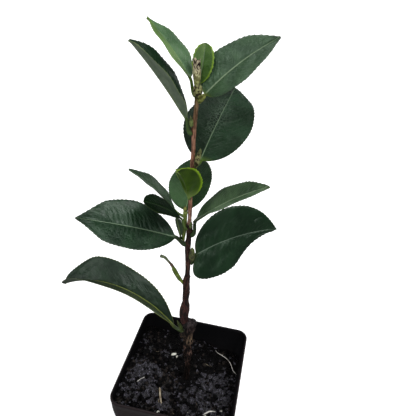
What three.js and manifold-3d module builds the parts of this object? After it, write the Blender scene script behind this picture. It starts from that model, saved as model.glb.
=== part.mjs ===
// Young camellia shrub, a rooted cutting, in its square nursery pot.
// Millimetres, +Z up. The origin is the centre of the pot's flat underside.
// The plant stands in a group at the pot's rim plane, so plant heights are heights above the rim.
import * as THREE from 'three';
import { mergeVertices } from 'three/addons/utils/BufferGeometryUtils.js';
import Module from 'manifold-3d';

const wasm = await Module();
wasm.setup();

// Clearance between neighbouring solids.
const GAP = 0.3;

// Square nursery pot: half sizes of the outer wall at each height.
const POT_HEIGHT = 92;
const POT_PROFILE = [
  { z: 0, half: 34 },
  { z: 79, half: 44 },
  { z: 89, half: 44.5 },
  { z: 89.4, half: 45 },
  { z: POT_HEIGHT, half: 45 },
];
const POT_CORNER = 8;
const POT_WALL = 1.2;
const POT_FLOOR = 1.6;
const DRAIN_RADIUS = 4;
const DRAIN_OFFSET = 18;

// Potting mix: depths of its top under the rim, deepest at the back right.
const SOIL_DEPTH = 15;
const SOIL_SLOPE_X = 0.16;
const SOIL_SLOPE_BACK = 0.16;
const SOIL_CELLS = 18;
const CLOD_SPACING = 8;
const CLOD_HEIGHT = 5;
const DIMPLE_RADIUS = 9;
const FOOT_FLAT_RADIUS = 5.5;

// The old cutting that the shoot grew from: centre, radii and callus at its cut top.
const CUTTING = [
  { z: -15, x: 3, rx: 3.4, ry: 3.2 },
  { z: -12, x: 3, rx: 2.3, ry: 2.3 },
  { z: 6, x: 2.8, rx: 2.1, ry: 2.2 },
  { z: 14, x: 2.4, rx: 2.9, ry: 2.7 },
  { z: 26, x: 1.8, rx: 3.2, ry: 3 },
  { z: 36, x: 1.6, rx: 3.4, ry: 3.1 },
  { z: 42, x: 1.4, rx: 5.1, ry: 3.7 },
  { z: 46, x: 1, rx: 6.4, ry: 4 },
  { z: 48.4, x: 0.4, rx: 5.6, ry: 3.5 },
];

// The main shoot, from its swollen foot on the cutting to the terminal node.
const MAIN_STEM = [
  { z: 48.7, x: -1.8, y: 0, r: 2.9 },
  { z: 53, x: -2.5, y: 0, r: 3.3 },
  { z: 58, x: -2.2, y: 0.1, r: 3.5 },
  { z: 62, x: -1.9, y: 0.2, r: 3.1 },
  { z: 68, x: -2, y: 0.3, r: 2.2 },
  { z: 76, x: -1.8, y: 0.2, r: 2.5 },
  { z: 84, x: -2.2, y: 0, r: 2.4 },
  { z: 94, x: -1.7, y: -0.2, r: 1.6 },
  { z: 105, x: -2.2, y: -0.2, r: 1.65 },
  { z: 116, x: -2.6, y: 0, r: 1.9 },
  { z: 124, x: -2.4, y: 0.1, r: 1.55 },
  { z: 131, x: -2.5, y: 0.1, r: 1.5 },
  { z: 134, x: -2.5, y: 0.1, r: 1.15 },
  { z: 150, x: -2.9, y: 0, r: 1.25 },
  { z: 160, x: -2.9, y: -0.1, r: 1.1 },
  { z: 171, x: -2.9, y: -0.1, r: 1.3 },
  { z: 183, x: -3, y: 0, r: 1.1 },
  { z: 195, x: -3.3, y: 0.1, r: 1.25 },
  { z: 203, x: -2.8, y: 0.1, r: 1.1 },
  { z: 212, x: -2.7, y: 0, r: 1.35 },
  { z: 217.4, x: -3, y: 0, r: 1.2 },
];

// The green side shoot in the left axil, with two leaves and a bud at its tip.
const SIDE_SHOOT = [
  { z: 119.1, x: -5.9, y: 0.7, r: 0.9 },
  { z: 124, x: -6, y: 1.3, r: 1.4 },
  { z: 131, x: -5.8, y: 2.2, r: 1.25 },
  { z: 138, x: -6.2, y: 3, r: 1.3 },
];

// The short bud shoot low on the left, with its withered tip.
const BUD_SHOOT = [
  { z: 84.4, x: -5.3, y: -0.2, r: 0.8 },
  { z: 87.5, x: -7.2, y: -0.7, r: 1.4 },
  { z: 93.5, x: -10, y: -1.4, r: 1.5 },
  { z: 98.5, x: -12.2, y: -1.9, r: 0.8 },
  { z: 102, x: -14.7, y: -2.4, r: 0.6 },
  { z: 104.5, x: -16.7, y: -2.8, r: 0.8 },
  { z: 105.5, x: -19.7, y: -3.2, r: 0.9 },
];

// Leaf solids: a petiole and a blade in one closed strip.
const PETIOLE_STEPS = 3;
const BLADE_STEPS = 13;
const BLADE_CELLS = 6;
const PETIOLE_THICKNESS_RATIO = 0.02;
const LEAST_PETIOLE_HALF = 0.65;
const MOST_PETIOLE_HALF = 1.2;
const LAUNCH_SHARE = 0.65;
const BLADE_THICKNESS_RATIO = 0.013;
const LEAST_THICKNESS = 0.5;
const TIP_HALF_WIDTH = 0.35;
const VEIN_CROWDING = 1.5;
const END_CROWDING = 0.07;
const BEAK_START = 0.72;

// One entry for each leaf. Lengths are in mm and angles in degrees. The leaf leaves its
// limb at `height`, toward `azimuth` (0 is +X, 90 is the back). `petioleRise` and `rise`
// are slopes above the level at petiole and blade base, and `droop` is what the blade
// loses by its tip. `sweep` bends it sideways, `roll` lifts its right margin, `twist`
// adds to that by the tip, `fold` is the V of its halves and `curl` their recurved
// margins. `baseFullness` and `tipTaper` shape the outline, `skew` sets one half nearer
// the petiole than the other, `lobe` draws both halves back round the petiole, `ear` the
// right half alone, and `beak` draws the tip out to a point.
const LEAVES = {
  leaf_top_left: {
    height: 212, azimuth: 151, petiole: 8.3, petioleRise: 63, rise: 46, droop: 19, sweep: 0,
    roll: -15, twist: 3, fold: 16, curl: 0.03, length: 39.5, width: 19.9,
    baseFullness: 0.68, tipTaper: 0.84, skew: 0, lobe: 0, beak: 0.2, color: 0x4f7355,
  },
  leaf_upper_left: {
    height: 191.3, azimuth: 200, petiole: 9, petioleRise: 69.6, rise: 58, droop: 10, sweep: 1,
    roll: 3, twist: 3, fold: 36, curl: 0.03, length: 47.3, width: 22.6,
    baseFullness: 0.72, tipTaper: 0.66, skew: 0, lobe: 0, beak: 0.2, color: 0x40604a,
  },
  leaf_youngest: {
    height: 216, azimuth: 73, petiole: 1.9, petioleRise: 40, rise: 80, droop: 8, sweep: 10,
    roll: -2, twist: -3, fold: 7, curl: 0.03, length: 19.5, width: 10.4,
    baseFullness: 0.6, tipTaper: 0.5, skew: 0, lobe: 0, beak: 0, color: 0x6f9a4d,
  },
  leaf_upper_right: {
    height: 209.8, azimuth: 14, petiole: 6.9, petioleRise: 47.6, rise: 51, droop: 20, sweep: -5,
    roll: -39, twist: 2, fold: 18, curl: 0.03, length: 42.2, width: 24.4,
    baseFullness: 0.61, tipTaper: 0.81, skew: 0, lobe: 0, beak: 0.2, color: 0x3f6347,
  },
  leaf_upper_back: {
    height: 170, azimuth: 71, petiole: 7.3, petioleRise: 13, rise: 51, droop: 53, sweep: 19,
    roll: -8, twist: 8, fold: 0, curl: 0.04, length: 65.6, width: 40.1,
    baseFullness: 0.58, tipTaper: 0.79, skew: 0, lobe: 0, beak: 0.2, color: 0x27452f,
  },
  leaf_young_front: {
    height: 151, azimuth: 254, petiole: 1.7, petioleRise: 48, rise: 78, droop: 36, sweep: -1,
    roll: 1, twist: -15, fold: 34, curl: 0.02, length: 27.5, width: 19.2,
    baseFullness: 0.58, tipTaper: 0.69, skew: 0.07, lobe: 0, beak: 0.1, color: 0x7fa52a,
  },
  leaf_small_left: {
    height: 129, azimuth: 219, petiole: 9.2, petioleRise: 64, rise: 50, droop: 28, sweep: -5,
    roll: 0, twist: 23, fold: 10, curl: 0.03, length: 29, width: 15.3,
    baseFullness: 0.63, tipTaper: 0.45, skew: 0, lobe: 0, beak: 0.1, color: 0x1f3626,
  },
  leaf_mid_right: {
    height: 125, azimuth: -18, petiole: 11.8, petioleRise: 77.3, rise: 41, droop: -2, sweep: 4,
    roll: -13, twist: 7, fold: 25, curl: 0.03, length: 55.2, width: 26.3,
    baseFullness: 0.53, tipTaper: 0.91, skew: 0, lobe: 0, beak: 0.2, color: 0x4f7355,
  },
  leaf_mid_left: {
    height: 117, azimuth: 206, petiole: 8.6, petioleRise: 43, rise: 24, droop: 10, sweep: -1,
    roll: 27, twist: 6, fold: 16, curl: 0.03, length: 60.8, width: 32.3,
    baseFullness: 0.76, tipTaper: 0.8, skew: 0, lobe: 0, beak: 0.4, color: 0x2d4f38,
  },
  leaf_lower_right: {
    height: 99.6, azimuth: 37, petiole: 7.7, petioleRise: 55, rise: 22, droop: 28, sweep: -6,
    roll: -56, twist: -14, fold: 5, curl: 0.03, length: 58.6, width: 42.3,
    baseFullness: 0.64, tipTaper: 1.1, skew: 0.38, lobe: 0.45, ear: 0.5, beak: 0.4, color: 0x2d4f38,
  },
};

// The lowest leaf hangs on the old cutting.
const CUTTING_LEAF = {
  height: 35, azimuth: 171, petiole: 8.6, petioleRise: 18, rise: 48, droop: 84, sweep: 4,
  roll: 12, twist: -15, fold: 45, curl: 0.035, length: 98.8, width: 37.6,
  baseFullness: 0.88, tipTaper: 0.36, skew: 0, lobe: 0, beak: 0.4, color: 0x2d4f38,
};

// Two leaves and a narrow first leaf grow on the side shoot.
const SIDE_SHOOT_LEAVES = {
  leaf_side_bract: {
    height: 120.5, azimuth: 212, petiole: 1.5, petioleRise: 60, rise: 80, droop: 0, sweep: 0,
    roll: 0, twist: 0, fold: 14, curl: 0.03, length: 14, width: 6,
    baseFullness: 1, tipTaper: 0.4, skew: 0, lobe: 0, beak: 0, color: 0x1f3626,
  },
  leaf_side_left: {
    height: 135, azimuth: 171, petiole: 6, petioleRise: 25, rise: 47, droop: 27, sweep: 1,
    roll: -29, twist: 15, fold: 17, curl: 0.03, length: 37.5, width: 19,
    baseFullness: 0.65, tipTaper: 0.7, skew: 0, lobe: 0, beak: 0.2, color: 0x2f5039,
  },
  leaf_side_back: {
    height: 137, azimuth: 95, petiole: 1.8, petioleRise: 13, rise: 26, droop: 31, sweep: 6,
    roll: 13, twist: 3, fold: 10, curl: 0.03, length: 55, width: 28.5,
    baseFullness: 0.56, tipTaper: 0.83, skew: 0, lobe: 0, beak: 0.2, color: 0x3f6347,
  },
};

// Buds in the leaf axils: height, azimuth, length, radius and lean from the stem.
const BUDS = {
  bud_upper_left: { height: 195.3, azimuth: 236, length: 6.5, radius: 0.95, lean: 12, color: 0x8a9a4a },
  bud_upper_right: { height: 208.6, azimuth: 322, length: 6.4, radius: 1.15, lean: 36, color: 0x9c8a5c },
  bud_upper_back: { height: 171.7, azimuth: 338, length: 12.5, radius: 1.3, lean: 13, color: 0xa8a070 },
  bud_mid_right: { height: 130.5, azimuth: 300, length: 5, radius: 0.8, lean: 14, color: 0x7d9440 },
  bud_lower_right: { height: 104, azimuth: 328, length: 11.8, radius: 1.9, lean: 8, color: 0x66743c },
};
const SIDE_SHOOT_BUD = { length: 4.5, radius: 1, lean: 6, color: 0x9ab04e };
const CUTTING_BUD = { height: 38, azimuth: 215, length: 5, radius: 0.9, lean: 30, color: 0x66743c };

// The papery terminal bud on the tip of the main shoot.
const TERMINAL_BUD = { length: 13.4, radius: 2, lean: 5, bluntness: 0.3, color: 0xb39c72 };

const COLOR = {
  pot: 0x17161a,
  soil: 0x2a2826,
  oldWood: 0x6d5140,
  bark: 0x5a4038,
  greenWood: 0x7f9440,
};
const ROUGHNESS = { leaf: 0.35, wood: 0.8, plastic: 0.5, soil: 0.95, bud: 0.7 };

const TUBE_SIDES = 10;
const TUBE_RINGS_PER_POINT = 2;
const BUD_SIDES = 8;

const UP = new THREE.Vector3(0, 0, 1);

/** Gives a mesh its name and its own standard material. */
function part(name, geometry, color, roughness) {
  const material = new THREE.MeshStandardMaterial({ color, roughness, metalness: 0 });
  const mesh = new THREE.Mesh(geometry, material);
  mesh.name = name;
  return mesh;
}

/** A geometry with merged corners, so that its faces share their vertices. */
function welded(geometry) {
  geometry.deleteAttribute('normal');
  geometry.deleteAttribute('uv');
  return mergeVertices(geometry, 1e-4);
}

/** The solid of a closed geometry. */
function solid(geometry) {
  const merged = welded(geometry);
  return new wasm.Manifold(new wasm.Mesh({
    numProp: 3,
    vertProperties: merged.attributes.position.array,
    triVerts: merged.index.array,
  }));
}

/** The geometry of a solid. */
function geometryOf(manifold) {
  const mesh = manifold.getMesh();
  const geometry = new THREE.BufferGeometry();
  geometry.setAttribute('position', new THREE.BufferAttribute(mesh.vertProperties, 3));
  geometry.setIndex(new THREE.BufferAttribute(mesh.triVerts, 1));
  return geometry;
}

/** Moves every vertex of a geometry by a rule. */
function mapped(geometry, rule) {
  const position = geometry.attributes.position;
  const point = new THREE.Vector3();
  for (let i = 0; i < position.count; i += 1) {
    point.fromBufferAttribute(position, i);
    rule(point);
    position.setXYZ(i, point.x, point.y, point.z);
  }
  return geometry;
}

function radians(degrees) {
  return THREE.MathUtils.degToRad(degrees);
}

/** A value read off a list of stations sorted by height. */
function atHeight(stations, z, key) {
  const last = stations.length - 1;
  if (z <= stations[0].z) {
    return stations[0][key];
  }
  for (let i = 0; i < last; i += 1) {
    const low = stations[i];
    const high = stations[i + 1];
    if (z <= high.z) {
      return THREE.MathUtils.mapLinear(z, low.z, high.z, low[key], high[key]);
    }
  }
  return stations[last][key];
}

/** A square with rounded corners, as an outline of half size 1. */
function roundedSquare(cornerRatio) {
  const shape = new THREE.Shape();
  const straight = 1 - cornerRatio;
  for (let corner = 0; corner < 4; corner += 1) {
    const start = corner * Math.PI / 2;
    const x = straight * Math.SQRT2 * Math.cos(start + Math.PI / 4);
    const y = straight * Math.SQRT2 * Math.sin(start + Math.PI / 4);
    shape.absarc(x, y, cornerRatio, start, start + Math.PI / 2, false);
  }
  return shape;
}

/** A rounded square column whose half size follows a profile of heights. */
function taperedColumn(profile, corner) {
  const steps = profile.length - 1;
  const outline = roundedSquare(corner / profile[steps].half);
  const column = new THREE.ExtrudeGeometry(outline, {
    depth: steps, steps, curveSegments: 6, bevelEnabled: false,
  });
  return mapped(column, (point) => {
    const level = profile[Math.round(point.z)];
    point.set(point.x * level.half, point.y * level.half, level.z);
  });
}

/** Half size of the pot's inside at a height above its underside. */
function innerHalf(z) {
  return atHeight(POT_PROFILE, z, 'half') - POT_WALL;
}

/** The pot: a thin tapered shell with a bead at its rim and drain holes in its floor. */
function pot() {
  const outer = solid(taperedColumn(POT_PROFILE, POT_CORNER));
  const overshoot = 1;
  const wallLevels = POT_PROFILE.slice(1, 3).map((level) => level.z);
  const insideProfile = [POT_FLOOR, ...wallLevels, POT_HEIGHT + overshoot].map((z) => ({
    z, half: innerHalf(Math.min(z, wallLevels[1])),
  }));
  let shell = outer.subtract(solid(taperedColumn(insideProfile, POT_CORNER - POT_WALL)));
  for (const x of [-DRAIN_OFFSET, DRAIN_OFFSET]) {
    for (const y of [-DRAIN_OFFSET, DRAIN_OFFSET]) {
      const drain = new THREE.CylinderGeometry(DRAIN_RADIUS, DRAIN_RADIUS, 3 * POT_FLOOR, 12);
      drain.rotateX(Math.PI / 2);
      drain.translate(x, y, POT_FLOOR / 2);
      shell = shell.subtract(solid(drain));
    }
  }
  return part('pot', geometryOf(shell), COLOR.pot, ROUGHNESS.plastic);
}

/** A repeatable value from 0 to 1 for a corner of the clods' lattice. */
function scatter(column, row) {
  const wave = Math.sin(column * 12.99 + row * 78.23) * 437.5;
  return wave - Math.floor(wave);
}

/** Clods of the potting mix: a smooth height from 0 to 1. */
function clods(x, y) {
  const column = Math.floor(x / CLOD_SPACING);
  const row = Math.floor(y / CLOD_SPACING);
  const across = THREE.MathUtils.smoothstep(x / CLOD_SPACING - column, 0, 1);
  const along = THREE.MathUtils.smoothstep(y / CLOD_SPACING - row, 0, 1);
  const near = THREE.MathUtils.lerp(scatter(column, row), scatter(column + 1, row), across);
  const far = THREE.MathUtils.lerp(scatter(column, row + 1), scatter(column + 1, row + 1), across);
  return THREE.MathUtils.lerp(near, far, along);
}

/** Height of the potting mix above the pot's underside. */
function soilTop(x, y) {
  const fromStem = Math.hypot(x - CUTTING[0].x, y);
  const footLevel = POT_HEIGHT - SOIL_DEPTH - GAP;
  if (fromStem < FOOT_FLAT_RADIUS) {
    return footLevel;
  }
  const slope = SOIL_SLOPE_X * x + SOIL_SLOPE_BACK * Math.max(y, 0);
  const away = THREE.MathUtils.smoothstep(fromStem, FOOT_FLAT_RADIUS, DIMPLE_RADIUS * 2);
  return footLevel + away * (CLOD_HEIGHT * clods(x, y) - slope);
}

/** The potting mix: it fills the pot from the floor to an uneven top. */
function soil() {
  const bottom = POT_FLOOR + GAP;
  const block = new THREE.BoxGeometry(2, 2, 1, SOIL_CELLS, SOIL_CELLS, 1);
  const cornerRatio = POT_CORNER / innerHalf(POT_HEIGHT);
  const straight = 1 - cornerRatio;
  mapped(block, (point) => {
    const overX = Math.abs(point.x) - straight;
    const overY = Math.abs(point.y) - straight;
    let x = point.x;
    let y = point.y;
    if (overX > 0 && overY > 0) {
      const pull = Math.max(overX, overY) / Math.hypot(overX, overY);
      x = Math.sign(x) * (straight + overX * pull);
      y = Math.sign(y) * (straight + overY * pull);
    }
    if (point.z < 0) {
      const half = innerHalf(bottom) - GAP;
      point.set(x * half, y * half, bottom);
      return;
    }
    const nominal = innerHalf(POT_HEIGHT - SOIL_DEPTH);
    const top = soilTop(x * nominal, y * nominal);
    const half = innerHalf(top) - GAP;
    point.set(x * half, y * half, top);
  });
  return part('soil', welded(block), COLOR.soil, ROUGHNESS.soil);
}

/** A limb: a cylinder bent along its stations, with the radius of each. */
function limb(stations) {
  const points = stations.map((s) => new THREE.Vector3(s.x, s.y ?? 0, s.z));
  const curve = new THREE.CatmullRomCurve3(points, false, 'centripetal');
  const spans = stations.length - 1;
  const rings = spans * TUBE_RINGS_PER_POINT;
  const tube = new THREE.CylinderGeometry(1, 1, 1, TUBE_SIDES, rings);
  tube.rotateX(Math.PI / 2);
  return mapped(tube, (point) => {
    const ring = Math.round((point.z + 0.5) * rings);
    const along = ring / rings;
    const centre = curve.getPoint(along);
    const tangent = ring === 0 || ring === rings ? endTangent(stations, ring === 0) : curve.getTangent(along);
    const right = new THREE.Vector3().crossVectors(new THREE.Vector3(0, 1, 0), tangent).normalize();
    const back = new THREE.Vector3().crossVectors(tangent, right);
    const low = Math.min(Math.floor(along * spans), spans - 1);
    const share = along * spans - low;
    const blend = THREE.MathUtils.smoothstep(share, 0, 1);
    const rx = THREE.MathUtils.lerp(radiusX(stations[low]), radiusX(stations[low + 1]), blend);
    const ry = THREE.MathUtils.lerp(radiusY(stations[low]), radiusY(stations[low + 1]), blend);
    const x = point.x * rx;
    const y = point.y * ry;
    point.copy(centre).addScaledVector(right, x).addScaledVector(back, y);
  });
}

function radiusX(station) {
  return station.rx ?? station.r;
}

function radiusY(station) {
  return station.ry ?? station.r;
}

/** Upright limbs are cut level, and leaning ones square to their first or last span. */
function endTangent(stations, atStart) {
  const [a, b] = atStart ? stations.slice(0, 2) : stations.slice(-2);
  const span = new THREE.Vector3(b.x - a.x, (b.y ?? 0) - (a.y ?? 0), b.z - a.z).normalize();
  return span.z > 0.9 ? UP.clone() : span;
}

/** Centre and radius of a limb at a height. */
function limbAt(stations, z) {
  const y = stations[0].y === undefined ? 0 : atHeight(stations, z, 'y');
  const radiusKey = stations[0].r === undefined ? 'rx' : 'r';
  return {
    centre: new THREE.Vector3(atHeight(stations, z, 'x'), y, z),
    radius: atHeight(stations, z, radiusKey),
  };
}

/** Unit heading for a slope above the level and a bend to the left, seen along +X. */
function heading(rise, bend) {
  const e = radians(rise);
  const a = radians(bend);
  return new THREE.Vector3(Math.cos(a) * Math.cos(e), Math.sin(a) * Math.cos(e), Math.sin(e));
}

/** Share of the greatest half width at a share of the blade's length. */
function outline(leaf, s) {
  const a = leaf.baseFullness;
  const b = leaf.tipTaper;
  const peak = a / (a + b);
  const drawnIn = 1 - leaf.beak * THREE.MathUtils.smoothstep(s, BEAK_START, 1);
  return drawnIn * (s ** a * (1 - s) ** b) / (peak ** a * (1 - peak) ** b);
}

/** Half thickness of a leaf's petiole. */
function petioleHalfOf(leaf) {
  const half = leaf.length * PETIOLE_THICKNESS_RATIO;
  return THREE.MathUtils.clamp(half, LEAST_PETIOLE_HALF, MOST_PETIOLE_HALF);
}

/** Petiole's centreline, rising from the limb's side and in line with the blade at its end. */
function petioleCurve(leaf) {
  const third = leaf.petiole / 3;
  const launch = leaf.petioleRise * LAUNCH_SHARE;
  const start = new THREE.Vector3(petioleHalfOf(leaf) * Math.sin(radians(launch)), 0, 0);
  const after = start.clone().addScaledVector(heading(launch, 0), third);
  const end = heading(leaf.petioleRise, 0).multiplyScalar(leaf.petiole);
  const before = end.clone().addScaledVector(heading(leaf.rise, 0), -third);
  return new THREE.CubicBezierCurve3(start, after, before, end);
}

/** A station on the petiole, which lies before the blade's first share. */
function petioleStation(curve, share) {
  return { s: 0, point: curve.getPoint(share), tangent: curve.getTangent(share) };
}

/** Share of the blade's length at a station: stations crowd toward both ends. */
function stationShare(i) {
  const even = i / BLADE_STEPS;
  return even - END_CROWDING * Math.sin(2 * Math.PI * even);
}

/** Midrib stations of the blade, with the heading at each. */
function midrib(leaf, start) {
  const stations = [];
  const point = start.clone();
  for (let i = 0; i <= BLADE_STEPS; i += 1) {
    const s = stationShare(i);
    const tangent = heading(leaf.rise - leaf.droop * s, leaf.sweep * s);
    stations.push({ s, point: point.clone(), tangent });
    const next = stationShare(i + 1);
    const middle = (s + next) / 2;
    const step = heading(leaf.rise - leaf.droop * middle, leaf.sweep * middle);
    point.addScaledVector(step, leaf.length * (next - s));
  }
  return stations;
}

/** A leaf in its own frame: it leaves the origin along +X, with its upper side up. */
function leafGeometry(leaf) {
  const petiole = petioleCurve(leaf);
  const blade = midrib(leaf, petiole.getPoint(1));
  const rows = PETIOLE_STEPS + BLADE_STEPS;
  const petioleHalf = petioleHalfOf(leaf);
  const bladeHalf = Math.max(leaf.length * BLADE_THICKNESS_RATIO, LEAST_THICKNESS) / 2;
  const strip = new THREE.BoxGeometry(2, 1, 2, BLADE_CELLS, rows, 1);
  return welded(mapped(strip, (corner) => {
    const row = Math.round((corner.y + 0.5) * rows);
    const across = Math.sign(corner.x) * Math.abs(corner.x) ** VEIN_CROWDING;
    const upper = corner.z > 0 ? 1 : -1;
    const onBlade = row >= PETIOLE_STEPS;
    const share = row / PETIOLE_STEPS;
    const station = onBlade ? blade[row - PETIOLE_STEPS] : petioleStation(petiole, share);
    const { s, point: centre, tangent } = station;
    const level = new THREE.Vector3().crossVectors(tangent, UP).normalize();
    const above = new THREE.Vector3().crossVectors(level, tangent);
    const roll = radians((leaf.roll + leaf.twist * s) * Math.min(share, 1));
    const side = level.multiplyScalar(Math.cos(roll)).addScaledVector(above, Math.sin(roll));
    const normal = new THREE.Vector3().crossVectors(side, tangent);
    const spread = onBlade ? outline(leaf, s) * leaf.width / 2 : 0;
    const narrowest = onBlade ? THREE.MathUtils.lerp(petioleHalf, TIP_HALF_WIDTH, s) : petioleHalf;
    const half = Math.max(spread, narrowest);
    const open = THREE.MathUtils.smoothstep(spread, 0, petioleHalf * 3);
    const fold = radians(leaf.fold) * open;
    const out = half * across;
    const lift = Math.abs(out) * Math.sin(fold) - leaf.curl * 2 * half * across ** 2 * open;
    const round = petioleHalf * Math.sqrt(1 - 0.7 * across ** 2);
    const flat = bladeHalf / Math.cos(fold);
    const rib = Math.max(petioleHalf - flat, 0) * (1 - s) * Math.max(1 - Math.abs(out) / 1.5, 0);
    const thick = THREE.MathUtils.lerp(round, upper > 0 ? flat : flat + rib, open);
    corner.copy(centre);
    corner.addScaledVector(side, out * Math.cos(fold));
    corner.addScaledVector(normal, lift + upper * thick);
    const lobe = leaf.lobe * Math.abs(across) + (leaf.ear ?? 0) * Math.max(across, 0);
    const drawnBack = leaf.skew * across + lobe * (1 - s) ** 4;
    corner.addScaledVector(tangent, -drawnBack * spread);
  }));
}

/** Sets a piece on a limb, its own +X pointing away from the limb's centre. */
function onLimb(mesh, stations, height, azimuth, clear) {
  const { centre, radius } = limbAt(stations, height);
  const turn = radians(azimuth);
  mesh.position.copy(centre);
  mesh.position.x += Math.cos(turn) * (radius + clear);
  mesh.position.y += Math.sin(turn) * (radius + clear);
  mesh.rotation.z = turn;
  return mesh;
}

/** One leaf, its petiole just clear of its limb. */
function leafOn(stations, name, leaf) {
  const mesh = part(name, leafGeometry(leaf), leaf.color, ROUGHNESS.leaf);
  return onLimb(mesh, stations, leaf.height, leaf.azimuth, GAP);
}

/** A pointed bud, standing along +Z on a narrow round base. */
function budGeometry({ length, radius, bluntness = 0.8 }) {
  const sections = 8;
  const profile = [new THREE.Vector2(0, 0)];
  for (let i = 0; i < sections; i += 1) {
    const t = i / sections;
    profile.push(new THREE.Vector2(radius * budProfile(t) ** bluntness, length * t));
  }
  profile.push(new THREE.Vector2(0, length));
  const bud = new THREE.LatheGeometry(profile, BUD_SIDES);
  bud.rotateX(Math.PI / 2);
  return welded(bud);
}

/** Share of a bud's greatest radius at a share of its length, before its bluntness. */
function budProfile(t) {
  return Math.sin(Math.PI * (0.22 + 0.78 * t));
}

/** One axillary bud, leaning out from its limb and just clear of it. */
function budOn(stations, name, bud) {
  const geometry = budGeometry(bud);
  const lean = radians(bud.lean);
  geometry.rotateY(lean);
  geometry.computeBoundingBox();
  const clear = GAP - geometry.boundingBox.min.x;
  const mesh = part(name, geometry, bud.color, ROUGHNESS.bud);
  return onLimb(mesh, stations, bud.height, bud.azimuth, clear);
}

/** A bud that stands on the tip of a limb and leans to the left. */
function budOnTip(stations, name, bud) {
  const geometry = budGeometry(bud);
  geometry.rotateY(radians(-bud.lean));
  const tip = stations[stations.length - 1];
  geometry.computeBoundingBox();
  const mesh = part(name, geometry, bud.color, ROUGHNESS.bud);
  mesh.position.set(tip.x, tip.y, tip.z + GAP - geometry.boundingBox.min.z);
  return mesh;
}

/** The plant, in a frame whose level is the pot's rim. */
function plant() {
  const group = new THREE.Group();
  group.position.z = POT_HEIGHT;
  group.add(part('cutting_wood', welded(limb(CUTTING)), COLOR.oldWood, ROUGHNESS.wood));
  group.add(part('main_stem', welded(limb(MAIN_STEM)), COLOR.bark, ROUGHNESS.wood));
  group.add(part('side_shoot', welded(limb(SIDE_SHOOT)), COLOR.greenWood, ROUGHNESS.wood));
  group.add(part('bud_shoot', welded(limb(BUD_SHOOT)), COLOR.greenWood, ROUGHNESS.wood));
  for (const [name, leaf] of Object.entries(LEAVES)) {
    group.add(leafOn(MAIN_STEM, name, leaf));
  }
  for (const [name, leaf] of Object.entries(SIDE_SHOOT_LEAVES)) {
    group.add(leafOn(SIDE_SHOOT, name, leaf));
  }
  group.add(leafOn(CUTTING, 'leaf_lowest', CUTTING_LEAF));
  for (const [name, bud] of Object.entries(BUDS)) {
    group.add(budOn(MAIN_STEM, name, bud));
  }
  group.add(budOn(CUTTING, 'bud_on_cutting', CUTTING_BUD));
  group.add(budOnTip(SIDE_SHOOT, 'bud_side_shoot', SIDE_SHOOT_BUD));
  group.add(budOnTip(MAIN_STEM, 'terminal_bud', TERMINAL_BUD));
  return group;
}

const camellia = new THREE.Group();
camellia.add(pot());
camellia.add(soil());
camellia.add(plant());

export default camellia;
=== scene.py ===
"""A young camellia in its square nursery pot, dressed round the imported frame.

Sizes are in millimetres until a mesh is made, and heights on the plant are above the pot's rim.
"""

import logging
import math
import random
from dataclasses import dataclass, field, replace
from enum import Enum
from functools import cache
from typing import Callable

import bmesh
import bpy
import numpy as np
from mathutils import Euler, Matrix, Vector, noise


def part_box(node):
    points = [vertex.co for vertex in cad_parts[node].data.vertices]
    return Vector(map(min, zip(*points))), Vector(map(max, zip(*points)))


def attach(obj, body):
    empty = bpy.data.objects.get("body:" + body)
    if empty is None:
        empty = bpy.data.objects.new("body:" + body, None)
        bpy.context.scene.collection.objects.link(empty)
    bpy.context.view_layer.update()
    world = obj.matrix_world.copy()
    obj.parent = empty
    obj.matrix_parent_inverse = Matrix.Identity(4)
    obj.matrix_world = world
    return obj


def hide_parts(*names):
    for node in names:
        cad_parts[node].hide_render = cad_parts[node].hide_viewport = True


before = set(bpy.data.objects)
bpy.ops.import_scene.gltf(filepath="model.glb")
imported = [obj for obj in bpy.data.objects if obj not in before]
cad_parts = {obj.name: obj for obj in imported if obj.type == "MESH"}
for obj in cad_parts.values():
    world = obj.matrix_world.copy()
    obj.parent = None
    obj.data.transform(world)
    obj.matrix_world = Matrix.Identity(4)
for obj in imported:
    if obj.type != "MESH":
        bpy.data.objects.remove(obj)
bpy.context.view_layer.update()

LOG = logging.getLogger("camellia")
BODY = "root"

MM = 0.001
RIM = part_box("pot")[1].z / MM
GAP = 0.3
UP = np.array([0.0, 0.0, 1.0])
WHITE = (1.0, 1.0, 1.0)

# A leaf's two UV maps: shares of the blade, and centimetres along it
LEAF_SHARE, LEAF_SIZE = "leaf_share", "leaf_size"
MM_TO_CM = 10.0
# Side veins: their lean at the midrib, their arch, and how far the right half's are moved on
VEIN_LEAN, VEIN_ARCH, VEIN_OFFSET = 0.16, 0.13, 0.45

Array = np.ndarray
Piece = bpy.types.Object
Pair = tuple[float, float]
Colour = tuple[float, float, float]
Spot = tuple[float, float, float]
Relief = Callable[[float, float], float]


def smoothstep(value: Array, low: float, high: float) -> Array:
    """A smooth rise from 0 at low to 1 at high."""
    share = np.clip((np.asarray(value, float) - low) / (high - low), 0.0, 1.0)
    return share * share * (3.0 - 2.0 * share)


def heading(rise: Array, bend: Array) -> Array:
    """Unit headings for slopes above the level and bends to the left, in degrees."""
    e, a = np.radians(rise), np.radians(bend)
    return np.stack(np.broadcast_arrays(np.cos(a) * np.cos(e), np.sin(a) * np.cos(e), np.sin(e)), -1)


def unit(vectors: Array) -> Array:
    """The vectors at length 1."""
    return vectors / np.linalg.norm(vectors, axis=-1, keepdims=True)


def curve(knots: list[Array], t: Array) -> Array:
    """Points at shares t of the curve that its knots draw, by repeated blends of them."""
    while len(knots) > 1:
        knots = [a + (b - a) * t for a, b in zip(knots, knots[1:])]
    return knots[0]


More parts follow.
